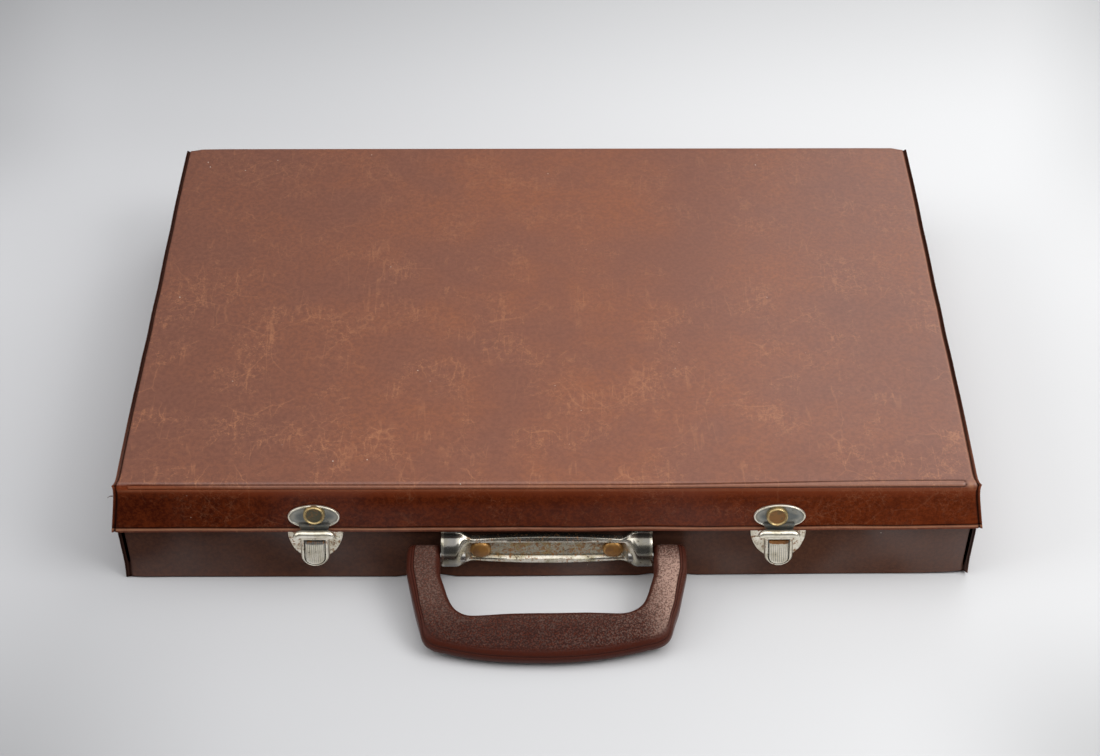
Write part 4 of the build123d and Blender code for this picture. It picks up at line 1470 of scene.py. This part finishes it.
    def _hinge(self, finish: bpy.types.Material) -> None:
        """Makes the strip that bulges a little between the two back walls.

        Args:
            finish: The vinyl.
        """
        c = self.case
        z = np.concatenate(
            [[c.hinge_low, 28.0, 29.0], np.linspace(29.6, 32.4, 15), [33.0, 34.0, c.hinge_high]]
        )
        x = np.linspace(-c.wall_x, c.wall_x, 64)
        zz, xx = np.meshgrid(z, x, indexing="ij")
        bulge = self.fold * bell(zz, c.hinge_z, 0.85)
        flat = np.full(zz.shape, c.back)
        outer = np.stack([xx, flat + bulge, zz], -1)
        inner = np.stack([xx, flat + bulge - c.sheet, zz], -1)
        masks = {
            # Painted shade in the two creases.
            "groove": 0.6 * (bell(zz, c.hinge_z - 1.7, 0.3) + bell(zz, c.hinge_z + 1.7, 0.3)),
            # Lighter along the crest.
            "worn": 0.4 * bell(zz, c.hinge_z, 0.7),
            "front": 1 + 0 * zz,
        }
        strip = Piece("hinge_skin")
        strip.add_sheet(outer, inner, masks)
        made = strip.make(VINYL_SHARP)
        made.data.materials.append(finish)
        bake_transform(made)
        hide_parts("hinge_strip")
        LOG.info("%s bends between base and lid", made.name)


# ------------------------------------------------------------------ locks and hasps
def upright_u(half: float, low: float, high: float) -> np.ndarray:
    """The outline of a U, round at the bottom, as rows of X and Z from its top left corner.

    Args:
        half: Half of its width, and the radius of its bottom.
        low: Its lowest Z.
        high: Z of its top.

    Returns:
        The outline.
    """
    angles = np.linspace(math.pi, 2 * math.pi, U_STEPS)
    arc = np.stack([half * np.cos(angles), low + half + half * np.sin(angles)], -1)
    steps = np.linspace(high, low + half, 6)[:-1]
    left = np.stack([np.full(5, -half), steps], -1)
    right = np.stack([np.full(5, half), steps[::-1]], -1)
    top = np.stack([np.linspace(half, -half, 8)[1:-1], np.full(6, high)], -1)
    return np.concatenate([left, arc, right, top])


@dataclass
class TuckLock:
    """A tuck lock on the base: back plate, housing with a rolled lip, and ribbed thumb piece."""

    word: str
    side: int
    middle_x: float = 106.3
    lean: float = 0.05
    lean_from: float = 33.0
    wall_y: float = -131.0
    metal: float = 0.8
    half: float = 6.6
    low: float = 10.9
    top: float = 30.4
    face_y: float = -136.8
    lip_y: float = -137.9
    lip_z: float = 33.4
    lip_round: float = 1.8

    @property
    def x(self) -> float:
        """X of the lock's middle."""
        return self.side * self.middle_x

    def _x_at(self, dx: np.ndarray | float, z: np.ndarray | float) -> np.ndarray | float:
        """X of a point beside the lock's middle line, which leans outwards lower down."""
        return self.x + dx + self.side * self.lean * (self.lean_from - z)

    def build(self, finish: bpy.types.Material) -> None:
        """Makes the three pieces that show.

        Args:
            finish: The steel.
        """
        self._plate(finish)
        self._housing(finish)
        self._thumb(finish)

    def _plate(self, finish: bpy.types.Material) -> None:
        """Makes the back plate with its two wings.

        Args:
            finish: The steel.
        """
        curve = spline([(12.8, 29.0), (12.5, 25.5), (11.4, 21.5), (9.4, 17.2), (6.6, 14.0)], 6)
        right = np.concatenate([[(12.8, 32.6)], curve])
        outline = np.concatenate([right, right[::-1] * np.array([-1, 1])])
        made = pressed_plate(
            f"lock_wings_{self.word}",
            [outline],
            lambda x, y, z: Vector((self._x_at(x, z), self.wall_y - y, z)),
            self.metal,
            0.3,
        )
        self._stain(made, 0.45)
        dress(made, finish, Slot.LOCK, Body.BASE, f"lock_plate_{self.word}")

    def _stain(self, made: bpy.types.Object, level: float) -> None:
        """Gives a mesh the same amount of rust all over."""
        attribute = made.data.attributes.new("rust", "FLOAT", "POINT")
        attribute.data.foreach_set("value", np.full(len(made.data.vertices), level, np.float32))

    def _housing(self, finish: bpy.types.Material) -> None:
        """Makes the housing: a rounded box with a window, and the lip over its mouth.

        Args:
            finish: The steel.
        """
        back = self.wall_y - self.metal
        rings = []
        for inset, y in ((0, back), (0, -134.9), (0.12, -135.7), (0.45, -136.35), (0.95, -136.7)):
            rings.append((upright_u(self.half - inset, self.low + inset, self.top - inset * 0.3), y))
        for half, y in ((5.35, self.face_y), (5.05, -136.78), (4.95, -136.6), (4.95, -136.0)):
            low = 12.1 - (half - 4.95)
            rings.append((upright_u(half, low, 28.6 + (half - 4.95)), y))
        for inset, y in ((0.8, -136.0), (0.8, back)):
            rings.append((upright_u(self.half - inset, self.low + inset, self.top - 0.3), y))
        grid = np.array(
            [[(self._x_at(px, pz), y, pz) for px, pz in ring] for ring, y in rings]
        )
        shape = Piece(f"lock_case_{self.word}")
        inside = np.zeros(grid.shape[:2])
        # Painted shade on the window's inner walls round the thumb piece.
        inside[7:9] = 0.8
        rust = 0.25 + 0.35 * (1 - smooth(-136.6, -136.2, grid[..., 1])) * smooth(24.0, 30.0, grid[..., 2])
        numbers = shape.add_points(grid, {"rust": rust, "hollow": inside})
        shape.add_faces(numbers, ring=True)
        shape.add_faces(np.stack([numbers[-1], numbers[0]]), ring=True)
        self._lip(shape)
        dress(shape.make(METAL_SHARP), finish, Slot.LOCK, Body.BASE, f"lock_housing_{self.word}")

    def _lip(self, shape: Piece) -> None:
        """Adds the rolled lip, whose ends droop, and the web that carries it.

        Args:
            shape: The housing's piece.
        """
        keys = [
            (-8.1, -1.7), (-7.8, -0.95), (-7.0, -0.25), (-5.0, 0.0), (0, -0.15),
            (5.0, 0.0), (7.0, -0.25), (7.8, -0.95), (8.1, -1.7),
        ]
        line = spline(keys, 5)
        turns = full_turn(16)
        ahead = np.gradient(line, axis=0)
        ahead /= np.linalg.norm(ahead, axis=1, keepdims=True)
        rows = []
        for k, ((dx, dz), (ax, az)) in enumerate(zip(line, ahead)):
            end = min(k, len(line) - 1 - k)
            radius = self.lip_round * math.sqrt(1 - (1 - min(end, 3) / 3) ** 2 * 0.75)
            rows.append(
                [(self.x + dx - az * radius * math.cos(a), self.lip_y + radius * math.sin(a),
                  self.lip_z + dz + ax * radius * math.cos(a)) for a in turns]
            )
        shape.add_rings(np.array(rows), {"rust": 0.05 * np.ones((len(rows), len(turns)))})
        web = []
        for z in (29.0, 29.6, 31.2, 32.4):
            half = 6.3 if z < 30 else 6.9
            web.append(
                [(self.x - half, -137.2, z), (self.x - half, -136.3, z),
                 (self.x + half, -136.3, z), (self.x + half, -137.2, z)]
            )
        shape.add_rings(np.array(web), {"rust": 0.3 * np.ones((4, 4))})

    def _thumb(self, finish: bpy.types.Material) -> None:
        """Makes the ribbed thumb piece with its tooth and tail.

        Args:
            finish: The steel.
        """
        half, low, high = 4.45, 12.7, 27.6
        back_y, front_y = -136.0, -136.88
        pitch, ribs = 0.94, 9
        x = np.linspace(-half, half, 73)
        phase = (x + pitch * ribs / 2) / pitch
        ridge = np.clip(np.cos(2 * math.pi * (phase - 0.5)) * 1.5, -0.9, 0.9)
        bottom = low + half - np.sqrt(np.maximum(half**2 - x**2, 0))
        levels = np.array([0, 0.02, 0.06, 0.10, 0.5, 0.80, 0.85, 0.90, 0.95, 1.0])
        z = bottom[None, :] + (high - bottom[None, :]) * levels[:, None]
        ribbed = smooth(0.03, 0.09, levels)[:, None] * (1 - smooth(0.84, 0.89, levels))[:, None]
        edge = smooth(0.0, 0.7, half - np.abs(x))[None, :]
        rise = 0.32 * (ridge[None, :] * 0.5 + 0.5) * ribbed * edge - 0.3 * (1 - edge)
        grid = np.stack([self._x_at(np.broadcast_to(x, z.shape), z), front_y - rise, z], -1)
        rear = grid.copy()
        rear[..., 1] = back_y
        # Painted shade between the ribs.
        shade = (1 - smooth(-0.3, 0.5, ridge))[None, :] * ribbed
        # The top band: painted shadow on the left piece, rust on the right one.
        band = smooth(0.84, 0.90, levels)[:, None] * np.ones_like(z)
        rusty = 1.0 if self.side > 0 else 0.25
        masks = {
            "hollow": np.clip(0.42 * shade + (1.0 - 0.7 * rusty) * band, 0, 1),
            "rust": 0.1 + 1.6 * rusty * band,
            "soot": (1.0 - rusty) * band * (0.55 + 0.45 * (1 - smooth(-0.3, 0.5, ridge)))[None, :],
        }
        shape = Piece(f"thumb_piece_{self.word}")
        shape.add_sheet(grid, rear, masks)
        tooth, tail = (23.4, 25.2, -134.3), (13.8, 18.6, -133.4)
        for z0, z1, end_y in (tooth, tail):
            block = [
                [(self._x_at(a * 2.1, z), y, z) for a, z in ((-1, z0), (1, z0), (1, z1), (-1, z1))]
                for y in (back_y, end_y)
            ]
            shape.add_rings(np.array(block), {})
        body = Body.THUMB_LEFT if self.side < 0 else Body.THUMB_RIGHT
        dress(shape.make(METAL_SHARP), finish, Slot.LOCK, body, f"thumb_slide_{self.word}")


# How far each hasp's rivet lies to the right of the middle, and its height.
HASP_RIVETS = {"left": (0.3, 42.0), "right": (-1.2, 40.9)}


@dataclass
class Hasp:
    """The hasp on the lid: a dished oval with a rim, a tongue, and its rivet."""

    word: str
    side: int
    case: CaseSizes
    middle_x: float = 106.3
    oval_z: float = 40.4
    half_width: float = 11.9
    half_height: float = 6.5
    metal: float = 1.0
    dish: float = 0.35
    tongue_y: float = -134.65
    tongue_metal: float = 0.9
    rivet_dx: float = 0.0
    rivet_z: float = 41.8

    @property
    def x(self) -> float:
        """X of the hasp's middle."""
        return self.side * self.middle_x

    def _on_skirt(self, dx: float, rise: float, dz: float, z: float) -> Vector:
        """A point beside the hasp, raised off the leaning skirt.

        Args:
            dx: Its distance to the right of the hasp's middle.
            rise: Its height off the skirt.
            dz: Its distance up the skirt from z.
            z: The height of the place that dz starts from.

        Returns:
            The point, in millimetres.
        """
        tilt = math.atan(self.case.front_slope)
        up = Vector((0, math.sin(tilt), math.cos(tilt)))
        out = Vector((0, -math.cos(tilt), math.sin(tilt)))
        start = Vector((self.x + dx, self.case.skirt_front(z), z))
        return start + out * rise + up * dz

    def build(self, steel: bpy.types.Material, brass: bpy.types.Material) -> None:
        """Makes the plate and the rivet.

        Args:
            steel: The plate's material.
            brass: The rivet's material.
        """
        turns = full_turn(72)
        # The face inside the rim is darker than the rim.
        rings, hollow = [], []
        for inset, rise, shade in (
            (0.0, 0.0, 0.0), (0.0, 0.55, 0.0), (0.12, 0.9, 0.0), (0.32, 1.08, 0.0),
            (0.58, 1.1, 0.0), (0.8, 0.98, 0.35), (1.05, 0.70, 0.9), (2.2, 0.60, 0.8), (4.2, 0.6, 1.0),
        ):
            rings.append(
                [self._on_skirt((self.half_width - inset) * math.cos(a), rise,
                                (self.half_height - inset) * math.sin(a), self.oval_z)
                 for a in turns]
            )
            hollow.append([shade] * len(turns))
        oval = Piece(f"hasp_oval_{self.word}")
        masks = {"hollow": np.array(hollow), "rust": 0.1 * np.ones((len(rings), len(turns)))}
        oval.add_rings(np.array(rings), masks)
        made = oval.make(METAL_SHARP)
        tongue = self._tongue()
        self._join(made, tongue)
        dress(made, steel, Slot.LOCK, Body.LID, f"hasp_plate_{self.word}")
        rivet = Piece(f"hasp_cap_{self.word}")
        axis = self._on_skirt(0, 1, 0, self.rivet_z) - self._on_skirt(0, 0, 0, self.rivet_z)
        grip = 3.4
        profile = [
            (0, 1.2), (2.0, 1.2), (3.75, 1.22), (4.0, 1.45), (4.2, 1.85), (4.45, 1.95), (4.75, 1.75),
            (4.9, 1.2), (4.95, 0.6), (4.95, 0.0), (1.8, 0.0), (1.8, -grip), (3.0, -grip),
            (2.9, -grip - 0.4), (2.5, -grip - 0.5), (0, -grip - 0.5),
        ]
        middle = self._on_skirt(self.rivet_dx, self.metal - self.dish, 0, self.rivet_z)
        rivet.add_lathe(profile, middle, axis, "cap")
        dress(rivet.make(RIVET_SHARP), brass, Slot.RIVET, Body.LID, f"hasp_rivet_{self.word}")

    def _tongue(self) -> bpy.types.Object:
        """Makes the neck and the tongue with its window.

        Returns:
            The object.
        """
        right = [(7.0, 37.0), (6.6, 34.6), (6.2, 33.2), (5.2, 31.4), (5.2, 22.4), (4.4, 21.6)]
        outline = np.array(right + [(-x, z) for x, z in right[::-1]])
        hole = np.array([(2.6, 22.9), (2.6, 27.7), (-2.6, 27.7), (-2.6, 22.9)])
        return pressed_plate(
            f"hasp_tongue_{self.word}",
            [outline, hole],
            lambda x, y, z: Vector((self.x + x, self.tongue_y - y, z)),
            self.tongue_metal,
            0.22,
        )

    def _join(self, main: bpy.types.Object, extra: bpy.types.Object) -> None:
        """Adds a second mesh to a first one and removes the second object.

        Args:
            main: The object that stays.
            extra: The object that is added to it.
        """
        work = bmesh.new()
        work.from_mesh(extra.data)
        # The neck and tongue are painted dark: painted shade, with some rust.
        for label, level in (("hollow", 1.0), ("rust", 0.3), ("soot", 0.4)):
            layer = work.verts.layers.float.get(label) or work.verts.layers.float.new(label)
            for vert in work.verts:
                vert[layer] = level
        work.from_mesh(main.data)
        work.to_mesh(main.data)
        work.free()
        main.data.shade_smooth()
        main.data.set_sharp_from_angle(angle=math.radians(METAL_SHARP))
        bpy.data.objects.remove(extra)


# ------------------------------------------------------------------ bracket and handle
@dataclass
class Bracket:
    """The handle's bracket: a pressed plate that swells into a tunnel at each end."""

    half: float = 48.6
    wall_y: float = -131.0
    middle_z: float = 18.5
    metal: float = 0.9
    rivet_x: float = 30.7
    lobe: float = 9.5
    flange: float = 10.4
    recess_rise: float = 1.2

    def _plate_half(self, x: float) -> np.ndarray:
        """Half of the plate's section, from its middle to its edge, as height and depth.

        Args:
            x: The distance from the middle.

        Returns:
            Rows of height and depth.
        """
        edge = 8.7 - 2.2 * (x / 39.0) ** 2
        tall = 1.14 - 0.20 * (x / 36.0) ** 2
        recess = [
            (0, 1.2), (1.5, 1.2), (3.0, 1.2), (3.8, 1.25), (4.15, 1.55), (4.45, 2.2), (4.85, 2.75),
        ]
        flange = [
            (5.5, 3.0), (edge - 1.1, 3.0), (edge - 0.5, 2.75), (edge - 0.15, 2.1), (edge, 1.0), (edge, 0),
        ]
        return np.array([(z * tall, d) for z, d in recess] + flange)

    def _lobe_half(self) -> np.ndarray:
        """Half of a tunnel's section, from its crown to its flange.

        Returns:
            Rows of height and depth.
        """
        rows = [(self.lobe * math.sin(math.radians(a)), self.lobe * math.cos(math.radians(a)))
                for a in range(0, 81, 10)]
        rows += [(9.55, 1.35), (9.8, 1.0), (self.flange - 0.15, 0.9), (self.flange, 0.0)]
        return np.array(rows)

    def build(self, steel: bpy.types.Material, brass: bpy.types.Material) -> None:
        """Makes the bracket and its two rivets.

        Args:
            steel: The bracket's material.
            brass: The rivets' material.
        """
        xs = np.concatenate(
            [np.linspace(0, 30, 11), np.linspace(32, 44, 25), np.linspace(44.8, 47.8, 5), [48.2, 48.5, 48.6]]
        )
        rows, hollow, rust, soot = [], [], [], []
        for x in np.concatenate([-xs[:0:-1], xs]):
            w = float(smooth(33.4, 42.2, abs(x)))
            z_w = float(smooth(33.4, 40.5, abs(x)))
            plate, lobe = self._plate_half(abs(x)), self._lobe_half()
            height = (1 - z_w) * plate[:, 0] + z_w * lobe[:, 0]
            depth = (1 - w) * plate[:, 1] + w * lobe[:, 1]
            lip = float(smooth(47.9, 48.6, abs(x)))
            depth = depth - 0.25 * lip * (depth > 2)
            full_z = np.concatenate([-height[:0:-1], height])
            full_d = np.concatenate([depth[:0:-1], depth])
            rows.append([(x, self.wall_y - d, self.middle_z + z) for z, d in zip(full_z, full_d)])
            recess = (1 - smooth(4.3, 5.0, np.abs(full_z))) * (1 - w)
            hollow.append(recess)
            rust.append(recess * 0.12 + 0.33 * (1 - w))
            # Painted dark reflection on the tunnels' crowns, and painted shade along the top flange under
            # the lid.
            crown = smooth(-7.6, -6.4, full_z) * (0.80 - 0.25 * bell(full_z, -1.0, 2.0))
            shade = crown * smooth(39.5, 42.5, abs(x)) * (1 - 0.8 * smooth(47.0, 47.8, abs(x)))
            soot.append(np.maximum(shade, 0.80 * smooth(6.9, 7.7, full_z) * (1 - w)))
        outer = np.array(rows)
        normal = grid_normals(outer)
        if normal[len(rows) // 2, outer.shape[1] // 2, 1] > 0:
            normal = -normal
        inner = outer - normal * self.metal
        inner[..., 1] = np.minimum(inner[..., 1], self.wall_y)
        bracket = Piece("bracket_skin")
        masks = {"hollow": np.array(hollow), "rust": np.array(rust), "soot": np.array(soot)}
        bracket.add_sheet(outer, inner, masks)
        dress(bracket.make(METAL_SHARP), steel, Slot.BRACKET, Body.BASE, "handle_bracket")
        caps = Piece("bracket_caps")
        face_y = self.wall_y - self.recess_rise
        grip = 6.4
        profile = [
            (0, 2.9), (1.6, 2.8), (3.0, 2.45), (3.9, 2.0), (4.5, 1.45), (4.85, 0.8), (4.9, 0.0),
            (1.8, 0.0), (1.8, -grip), (3.0, -grip), (2.9, -grip - 0.4), (0, -grip - 0.5),
        ]
        for side in (-1, 1):
            middle = Vector((side * self.rivet_x, face_y, self.middle_z))
            caps.add_lathe(profile, middle, Vector((0, -1, 0)), "cap")
        dress(caps.make(RIVET_SHARP), brass, Slot.RIVET, Body.BASE, "bracket_rivets")


@dataclass
class Handle:
    """The moulded handle: a broad grip and two arms with a rimmed outer edge."""

    pivot_y: float = -136.5
    pivot_z: float = 17.5
    tilt: float = 13.5
    arm_round: float = 5.0
    half_thick: float = 6.2

    def _rungs(self) -> tuple[np.ndarray, np.ndarray]:
        """Matching points on the inner and the outer edge, from the left arm to the right.

        Returns:
            The points of the inner edge and of the outer edge.
        """
        keys = [
            (0, 32.6, 0, 54.2), (9, 32.7, 13, 54.05), (18, 33.0, 26, 53.6), (26, 33.6, 37, 52.9),
            (33, 34.0, 46, 52.1), (37.5, 33.2, 50.6, 51.0), (41.2, 30.8, 54.2, 48.9),
            (43.6, 27.4, 56.2, 45.9), (45.3, 23.2, 57.4, 41.8), (46.8, 18.0, 59.4, 32.9),
            (48.2, 13.6, 61.9, 21.6), (48.9, 10.9, 63.6, 13.9), (49.0, 8.0, 64.4, 9.6),
            (49.0, 4.0, 64.5, 5.0), (49.0, 0.0, 64.4, 0.4), (49.0, -2.6, 64.0, -2.6),
            (49.1, -4.2, 63.2, -4.3), (49.3, -5.0, 62.0, -5.0),
        ]
        half = spline(keys, 5)
        whole = np.concatenate([half[:0:-1] * np.array([-1, 1, -1, 1]), half])
        near_x, far_x = whole[:, 0], whole[:, 2]
        over_grip = smooth(14.0, 28.0, whole[:, 1])
        whole[:, 1] -= (0.7 + 1.1 * smooth(0, 34, near_x)) * over_grip
        whole[:, 0] += 0.9 * bell(near_x, 43.5, 4.0)
        cut = 4.4 * np.clip(far_x / 46, 0, 1) ** 2 + 2.9 * np.clip(-far_x / 46, 0, 1) ** 3 - 0.7
        whole[:, 3] -= cut * smooth(28.0, 42.0, whole[:, 3])
        return whole[:, :2], whole[:, 2:]

    def _section(self, width: float, thick: float, out_round: float) -> np.ndarray:
        """The top half of a section.

        Args:
            width: The distance between the inner and the outer edge.
            thick: Half of the thickness.
            out_round: How far in the rounding of the outer edge reaches.

        Returns:
            Rows of the distance from the inner edge, the height, the rim mask and the mask of painted shade
            in the groove.
        """
        inner_round = min(3.4, width * 0.3)
        a = [0, 0.06, 0.25, 0.6, 1.1, 1.8, 2.6, inner_round]
        middle = np.linspace(inner_round + 0.6, width - 4.6, 6)
        b = [4.2, 3.8, 3.6, 3.4, 3.2, 3.0, 2.6, 2.35, 2.15, 1.95, 1.7, 1.4, 1.15, 0.95, 0.8, 0.65,
             0.5, 0.28, 0.1, 0.02, 0]
        d = np.concatenate([a, middle, width - np.array(b)])
        from_in, from_out = d, width - d
        u = np.clip(1 - from_in / inner_round, 0, 1)
        v = np.clip(1 - from_out / out_round, 0, 1)
        low_in = thick * 0.42
        soft = float(smooth(3.2, 10.0, out_round))
        low_out = thick * (0.42 - 0.34 * soft)
        h_in = low_in + (thick - low_in) * np.sqrt(1 - u**2)
        h_out = low_out + (thick - low_out) * np.sqrt(1 - v**2)
        height = np.minimum(h_in, h_out)
        groove = bell(from_out, 3.4, 0.2) * (1 - 0.8 * soft) + bell(from_out, 2.15 - 1.2 * soft, 0.2)
        height = height - 0.22 * groove * min(1.0, thick / 3)
        rim = 1 - smooth(3.2 - 1.2 * soft, 3.7 + 1.6 * soft, from_out) + 1 - smooth(1.2, 2.6, from_in)
        rim = np.clip(rim, 0, 1)
        return np.stack([d, height, rim, 0.8 * groove], -1)

    def build(self, finish: bpy.types.Material) -> None:
        """Makes the handle.

        Args:
            finish: The moulded plastic.
        """
        inner, outer = self._rungs()
        tilt = math.radians(self.tilt)
        away = np.array([0, -math.cos(tilt), -math.sin(tilt)])
        up = np.array([0, -math.sin(tilt), math.cos(tilt)])
        pivot = np.array([0, self.pivot_y, self.pivot_z])
        rows, rims, grooves = [], [], []
        for near, far in zip(inner, outer):
            width = float(np.linalg.norm(far - near))
            s_mid = (near[1] + far[1]) / 2
            thick_near, thick_far = (self._thick(float(p[1])) for p in (near, far))
            out_round = 3.0 + 8.0 * float(smooth(24, 42, s_mid))
            section = self._section(width, 1.0, out_round)
            d = section[:, 0] / width
            thick = thick_near + (thick_far - thick_near) * d
            height = section[:, 1] * thick
            flat = near[None, :] + (far - near)[None, :] * d[:, None]
            top = pivot + flat[:, :1] * np.array([1, 0, 0]) + flat[:, 1:] * away
            rows.append(np.concatenate([top + up * height[:, None], (top - up * height[:, None])[::-1]]))
            rims.append(np.concatenate([section[:, 2], section[::-1, 2]]))
            grooves.append(np.concatenate([section[:, 3], section[::-1, 3] * 0.3]))
        shape = Piece("handle_skin")
        shape.add_rings(np.array(rows), {"rim": np.array(rims), "groove": np.array(grooves)})
        dress(shape.make(HANDLE_SHARP), finish, Slot.HANDLE, Body.HANDLE, "handle_grip")

    def _thick(self, s: float) -> float:
        """Half of the thickness at a distance out from the pivot.

        Args:
            s: The distance out, which is negative behind the pivot.

        Returns:
            The thickness.
        """
        if s < 0:
            return self.arm_round * max(1 - abs(s / self.arm_round) ** 2.6, 0.002) ** (1 / 2.6)
        return self.arm_round + (self.half_thick - self.arm_round) * min(s / 26.0, 1.0)


# ------------------------------------------------------------------ kept nodes and studio
class Interior:
    """The boards, linings, trays and small metal that keep their own shapes."""

    def __init__(self, nodes: Mapping[str, bpy.types.Object]) -> None:
        """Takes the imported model's nodes by name."""
        self.nodes = nodes

    def dress(self, finishes: Finishes) -> None:
        """Gives each kept node its material.

        Args:
            finishes: The case's materials.
        """
        rules = (
            ("felt_lining", finishes.felt), ("lid_lining", finishes.felt),
            ("liner_", finishes.liner), ("tray", finishes.tray), ("_board", finishes.board),
            ("backing_plate", finishes.steel), ("hasp_washer", finishes.steel),
            ("lock_spring", finishes.steel), ("lock_pins", finishes.lock),
            ("handle_pin", finishes.steel),
        )
        for name, node in self.nodes.items():
            material = next((m for word, m in rules if word in name), None)
            if material is not None:
                node.data.materials.clear()
                node.data.materials.append(material)
                LOG.info("%s wears %s", name, material.name)


@dataclass
class Studio:
    """A pale floor with painted shade that sweeps up behind, soft lamps and the camera."""

    lens: float = 69.8
    camera_place: Triple = (0.0016, -0.826, 0.7269)
    camera_turn: Triple = (48.96, 0.0, -0.09)
    floor_half: float = 4.5
    # The paper's tone on the left is darker: painted shade where less lamp light falls.
    paper_and_shade_left: Colour = (0.66, 0.66, 0.675)
    paper_and_light_right: Colour = (0.86, 0.86, 0.865)
    # Painted shade: how much the paper darkens near the front and far behind.
    near: float = 0.87
    far: float = 0.79
    air: Colour = (0.94, 0.97, 1.0)

    def build(self) -> None:
        """Makes the floor, the lamps, the world and the camera."""
        self._floor()
        self._lamp("key", (0.95, -0.50, 1.00), (0.8, 0.8), 8.6)
        self._lamp("fill", (-1.10, -0.25, 0.80), (0.9, 0.9), 5.6)
        self._lamp("top", (0.15, -0.20, 1.35), (2.0, 1.5), 13.0)
        self._lamp("rear", (0.62, 1.05, 0.95), (0.85, 0.75), 3.0)
        self._world()
        self._camera()

    def _floor(self) -> None:
        """Makes the floor, with painted shade on its paper: darker to the left, behind, near the front, out
        to the sides and towards the front corners, and a little painted light near the front on the right.
        """
        profile = Path([(-4.0, 0.0), (3.2, 0.0), (4.4, 2.4)], (0.9,))
        along = np.linspace(0, profile.length, 80)
        yz = profile.at(along)
        x = np.linspace(-self.floor_half, self.floor_half, 30)
        grid = np.stack(
            [np.tile(x, (len(along), 1)), np.repeat(yz[:, :1], len(x), 1), np.repeat(yz[:, 1:], len(x), 1)],
            -1,
        )
        sweep = Piece("studio_floor")
        sweep.add_faces(sweep.add_points(grid / MM - np.array([0, 0, 0.02]), {}))
        made = sweep.make(PAPER_SHARP)
        s = Shader("studio_paper")
        x_at, y_at, _ = s.split()
        # Painted shade: the paper darkens towards the left.
        tone = s.mix(x_at.rise(-0.35, 0.35), self.paper_and_shade_left, self.paper_and_light_right)
        # Painted shade near the front and far behind.
        shade = y_at.rise(-0.10, 0.19) * (1 - self.near) + self.near - y_at.rise(0.23, 0.48) * (1 - self.far)
        # Painted shade far to the left.
        shade = shade - x_at.rise(0.15, -0.25) * y_at.rise(0.14, 0.25) * 0.10
        # A little painted light near the front on the right.
        shade = shade + x_at.rise(-0.02, 0.22) * y_at.rise(0.06, -0.12) * 0.03
        # Painted shade out to the sides and towards the front corners.
        shade_beside_case = (abs(x_at) - y_at * 0.2 - 0.12).rise(0.10, 0.19) * abs(y_at + 0.05).rise(0.12, 0.30)
        shade = shade - shade_beside_case * 0.16 - x_at.rise(-0.05, -0.24) * y_at.rise(-0.16, -0.33) * 0.16
        shade = shade - x_at.rise(-0.12, -0.24) * y_at.rise(-0.10, -0.22) * 0.13
        shade = shade - x_at.rise(0.14, 0.25) * y_at.rise(-0.12, -0.25) * 0.20
        grey = s.node("ShaderNodeCombineColor", {}, {0: shade, 1: shade, 2: shade})
        tone = s.mix(1.0, tone, grey, "MULTIPLY")
        made.data.materials.append(s.finish(Base_Color=tone, Roughness=0.9, Specular_IOR_Level=0.1))

    def _lamp(self, name: str, place: Triple, size: tuple[float, float], power: float) -> None:
        """Adds a soft area lamp that faces the case.

        Args:
            name: The lamp's name.
            place: Its place.
            size: Its width and height.
            power: Its power, in watts.
        """
        data = bpy.data.lights.new(name, "AREA")
        data.shape = "RECTANGLE"
        data.size, data.size_y = size
        data.energy = power
        lamp = bpy.data.objects.new(name, data)
        lamp.location = place
        lamp.rotation_euler = (-Vector(place)).to_track_quat("-Z", "Y").to_euler()
        bpy.context.scene.collection.objects.link(lamp)

    def _world(self) -> None:
        """Sets a pale surround that is dim low down on the near side."""
        s = Shader("studio_air", world=True)
        _, y_at, z_at = s.split()
        dim = y_at.rise(0.05, -0.45) * z_at.rise(0.80, 0.55)
        s.finish(Color=self.air, Strength=0.24 - dim * 0.16)
        bpy.context.scene.world = s.material

    def _camera(self) -> None:
        """Sets the camera."""
        data = bpy.data.cameras.new("camera")
        data.lens = self.lens
        data.sensor_width = 36.0
        data.clip_start = 0.01
        camera = bpy.data.objects.new("camera", data)
        camera.rotation_mode = "ZYX"
        camera.location = self.camera_place
        camera.rotation_euler = [math.radians(a) for a in self.camera_turn]
        bpy.context.scene.collection.objects.link(camera)
        bpy.context.scene.camera = camera
        bpy.context.scene.view_settings.view_transform = "Standard"


def corners(bounds: Sequence[Sequence[float]]) -> list[list[float]]:
    """A box's two corners as plain lists of numbers."""
    return [[float(v) for v in corner] for corner in bounds]


def main() -> None:
    """Loads the frame and builds every piece."""
    logging.basicConfig(level=logging.INFO, format="%(message)s")
    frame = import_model()
    case = CaseSizes()
    finishes = Finishes()
    LidCover(case).build(finishes.lid)
    BaseCover(case).build(finishes.base)
    for word, side in SIDES.items():
        TuckLock(word, side).build(finishes.lock)
        dx, z = HASP_RIVETS[word]
        hasp = Hasp(word, side, case, rivet_dx=dx, rivet_z=z)
        hasp.build(finishes.lock, finishes.hasp_rivets[word])
    Bracket().build(finishes.bracket, finishes.bracket_rivet)
    Handle().build(finishes.handle)
    Interior(frame["nodes"]).dress(finishes)
    Studio().build()
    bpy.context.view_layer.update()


if __name__ == "__main__":
    main()
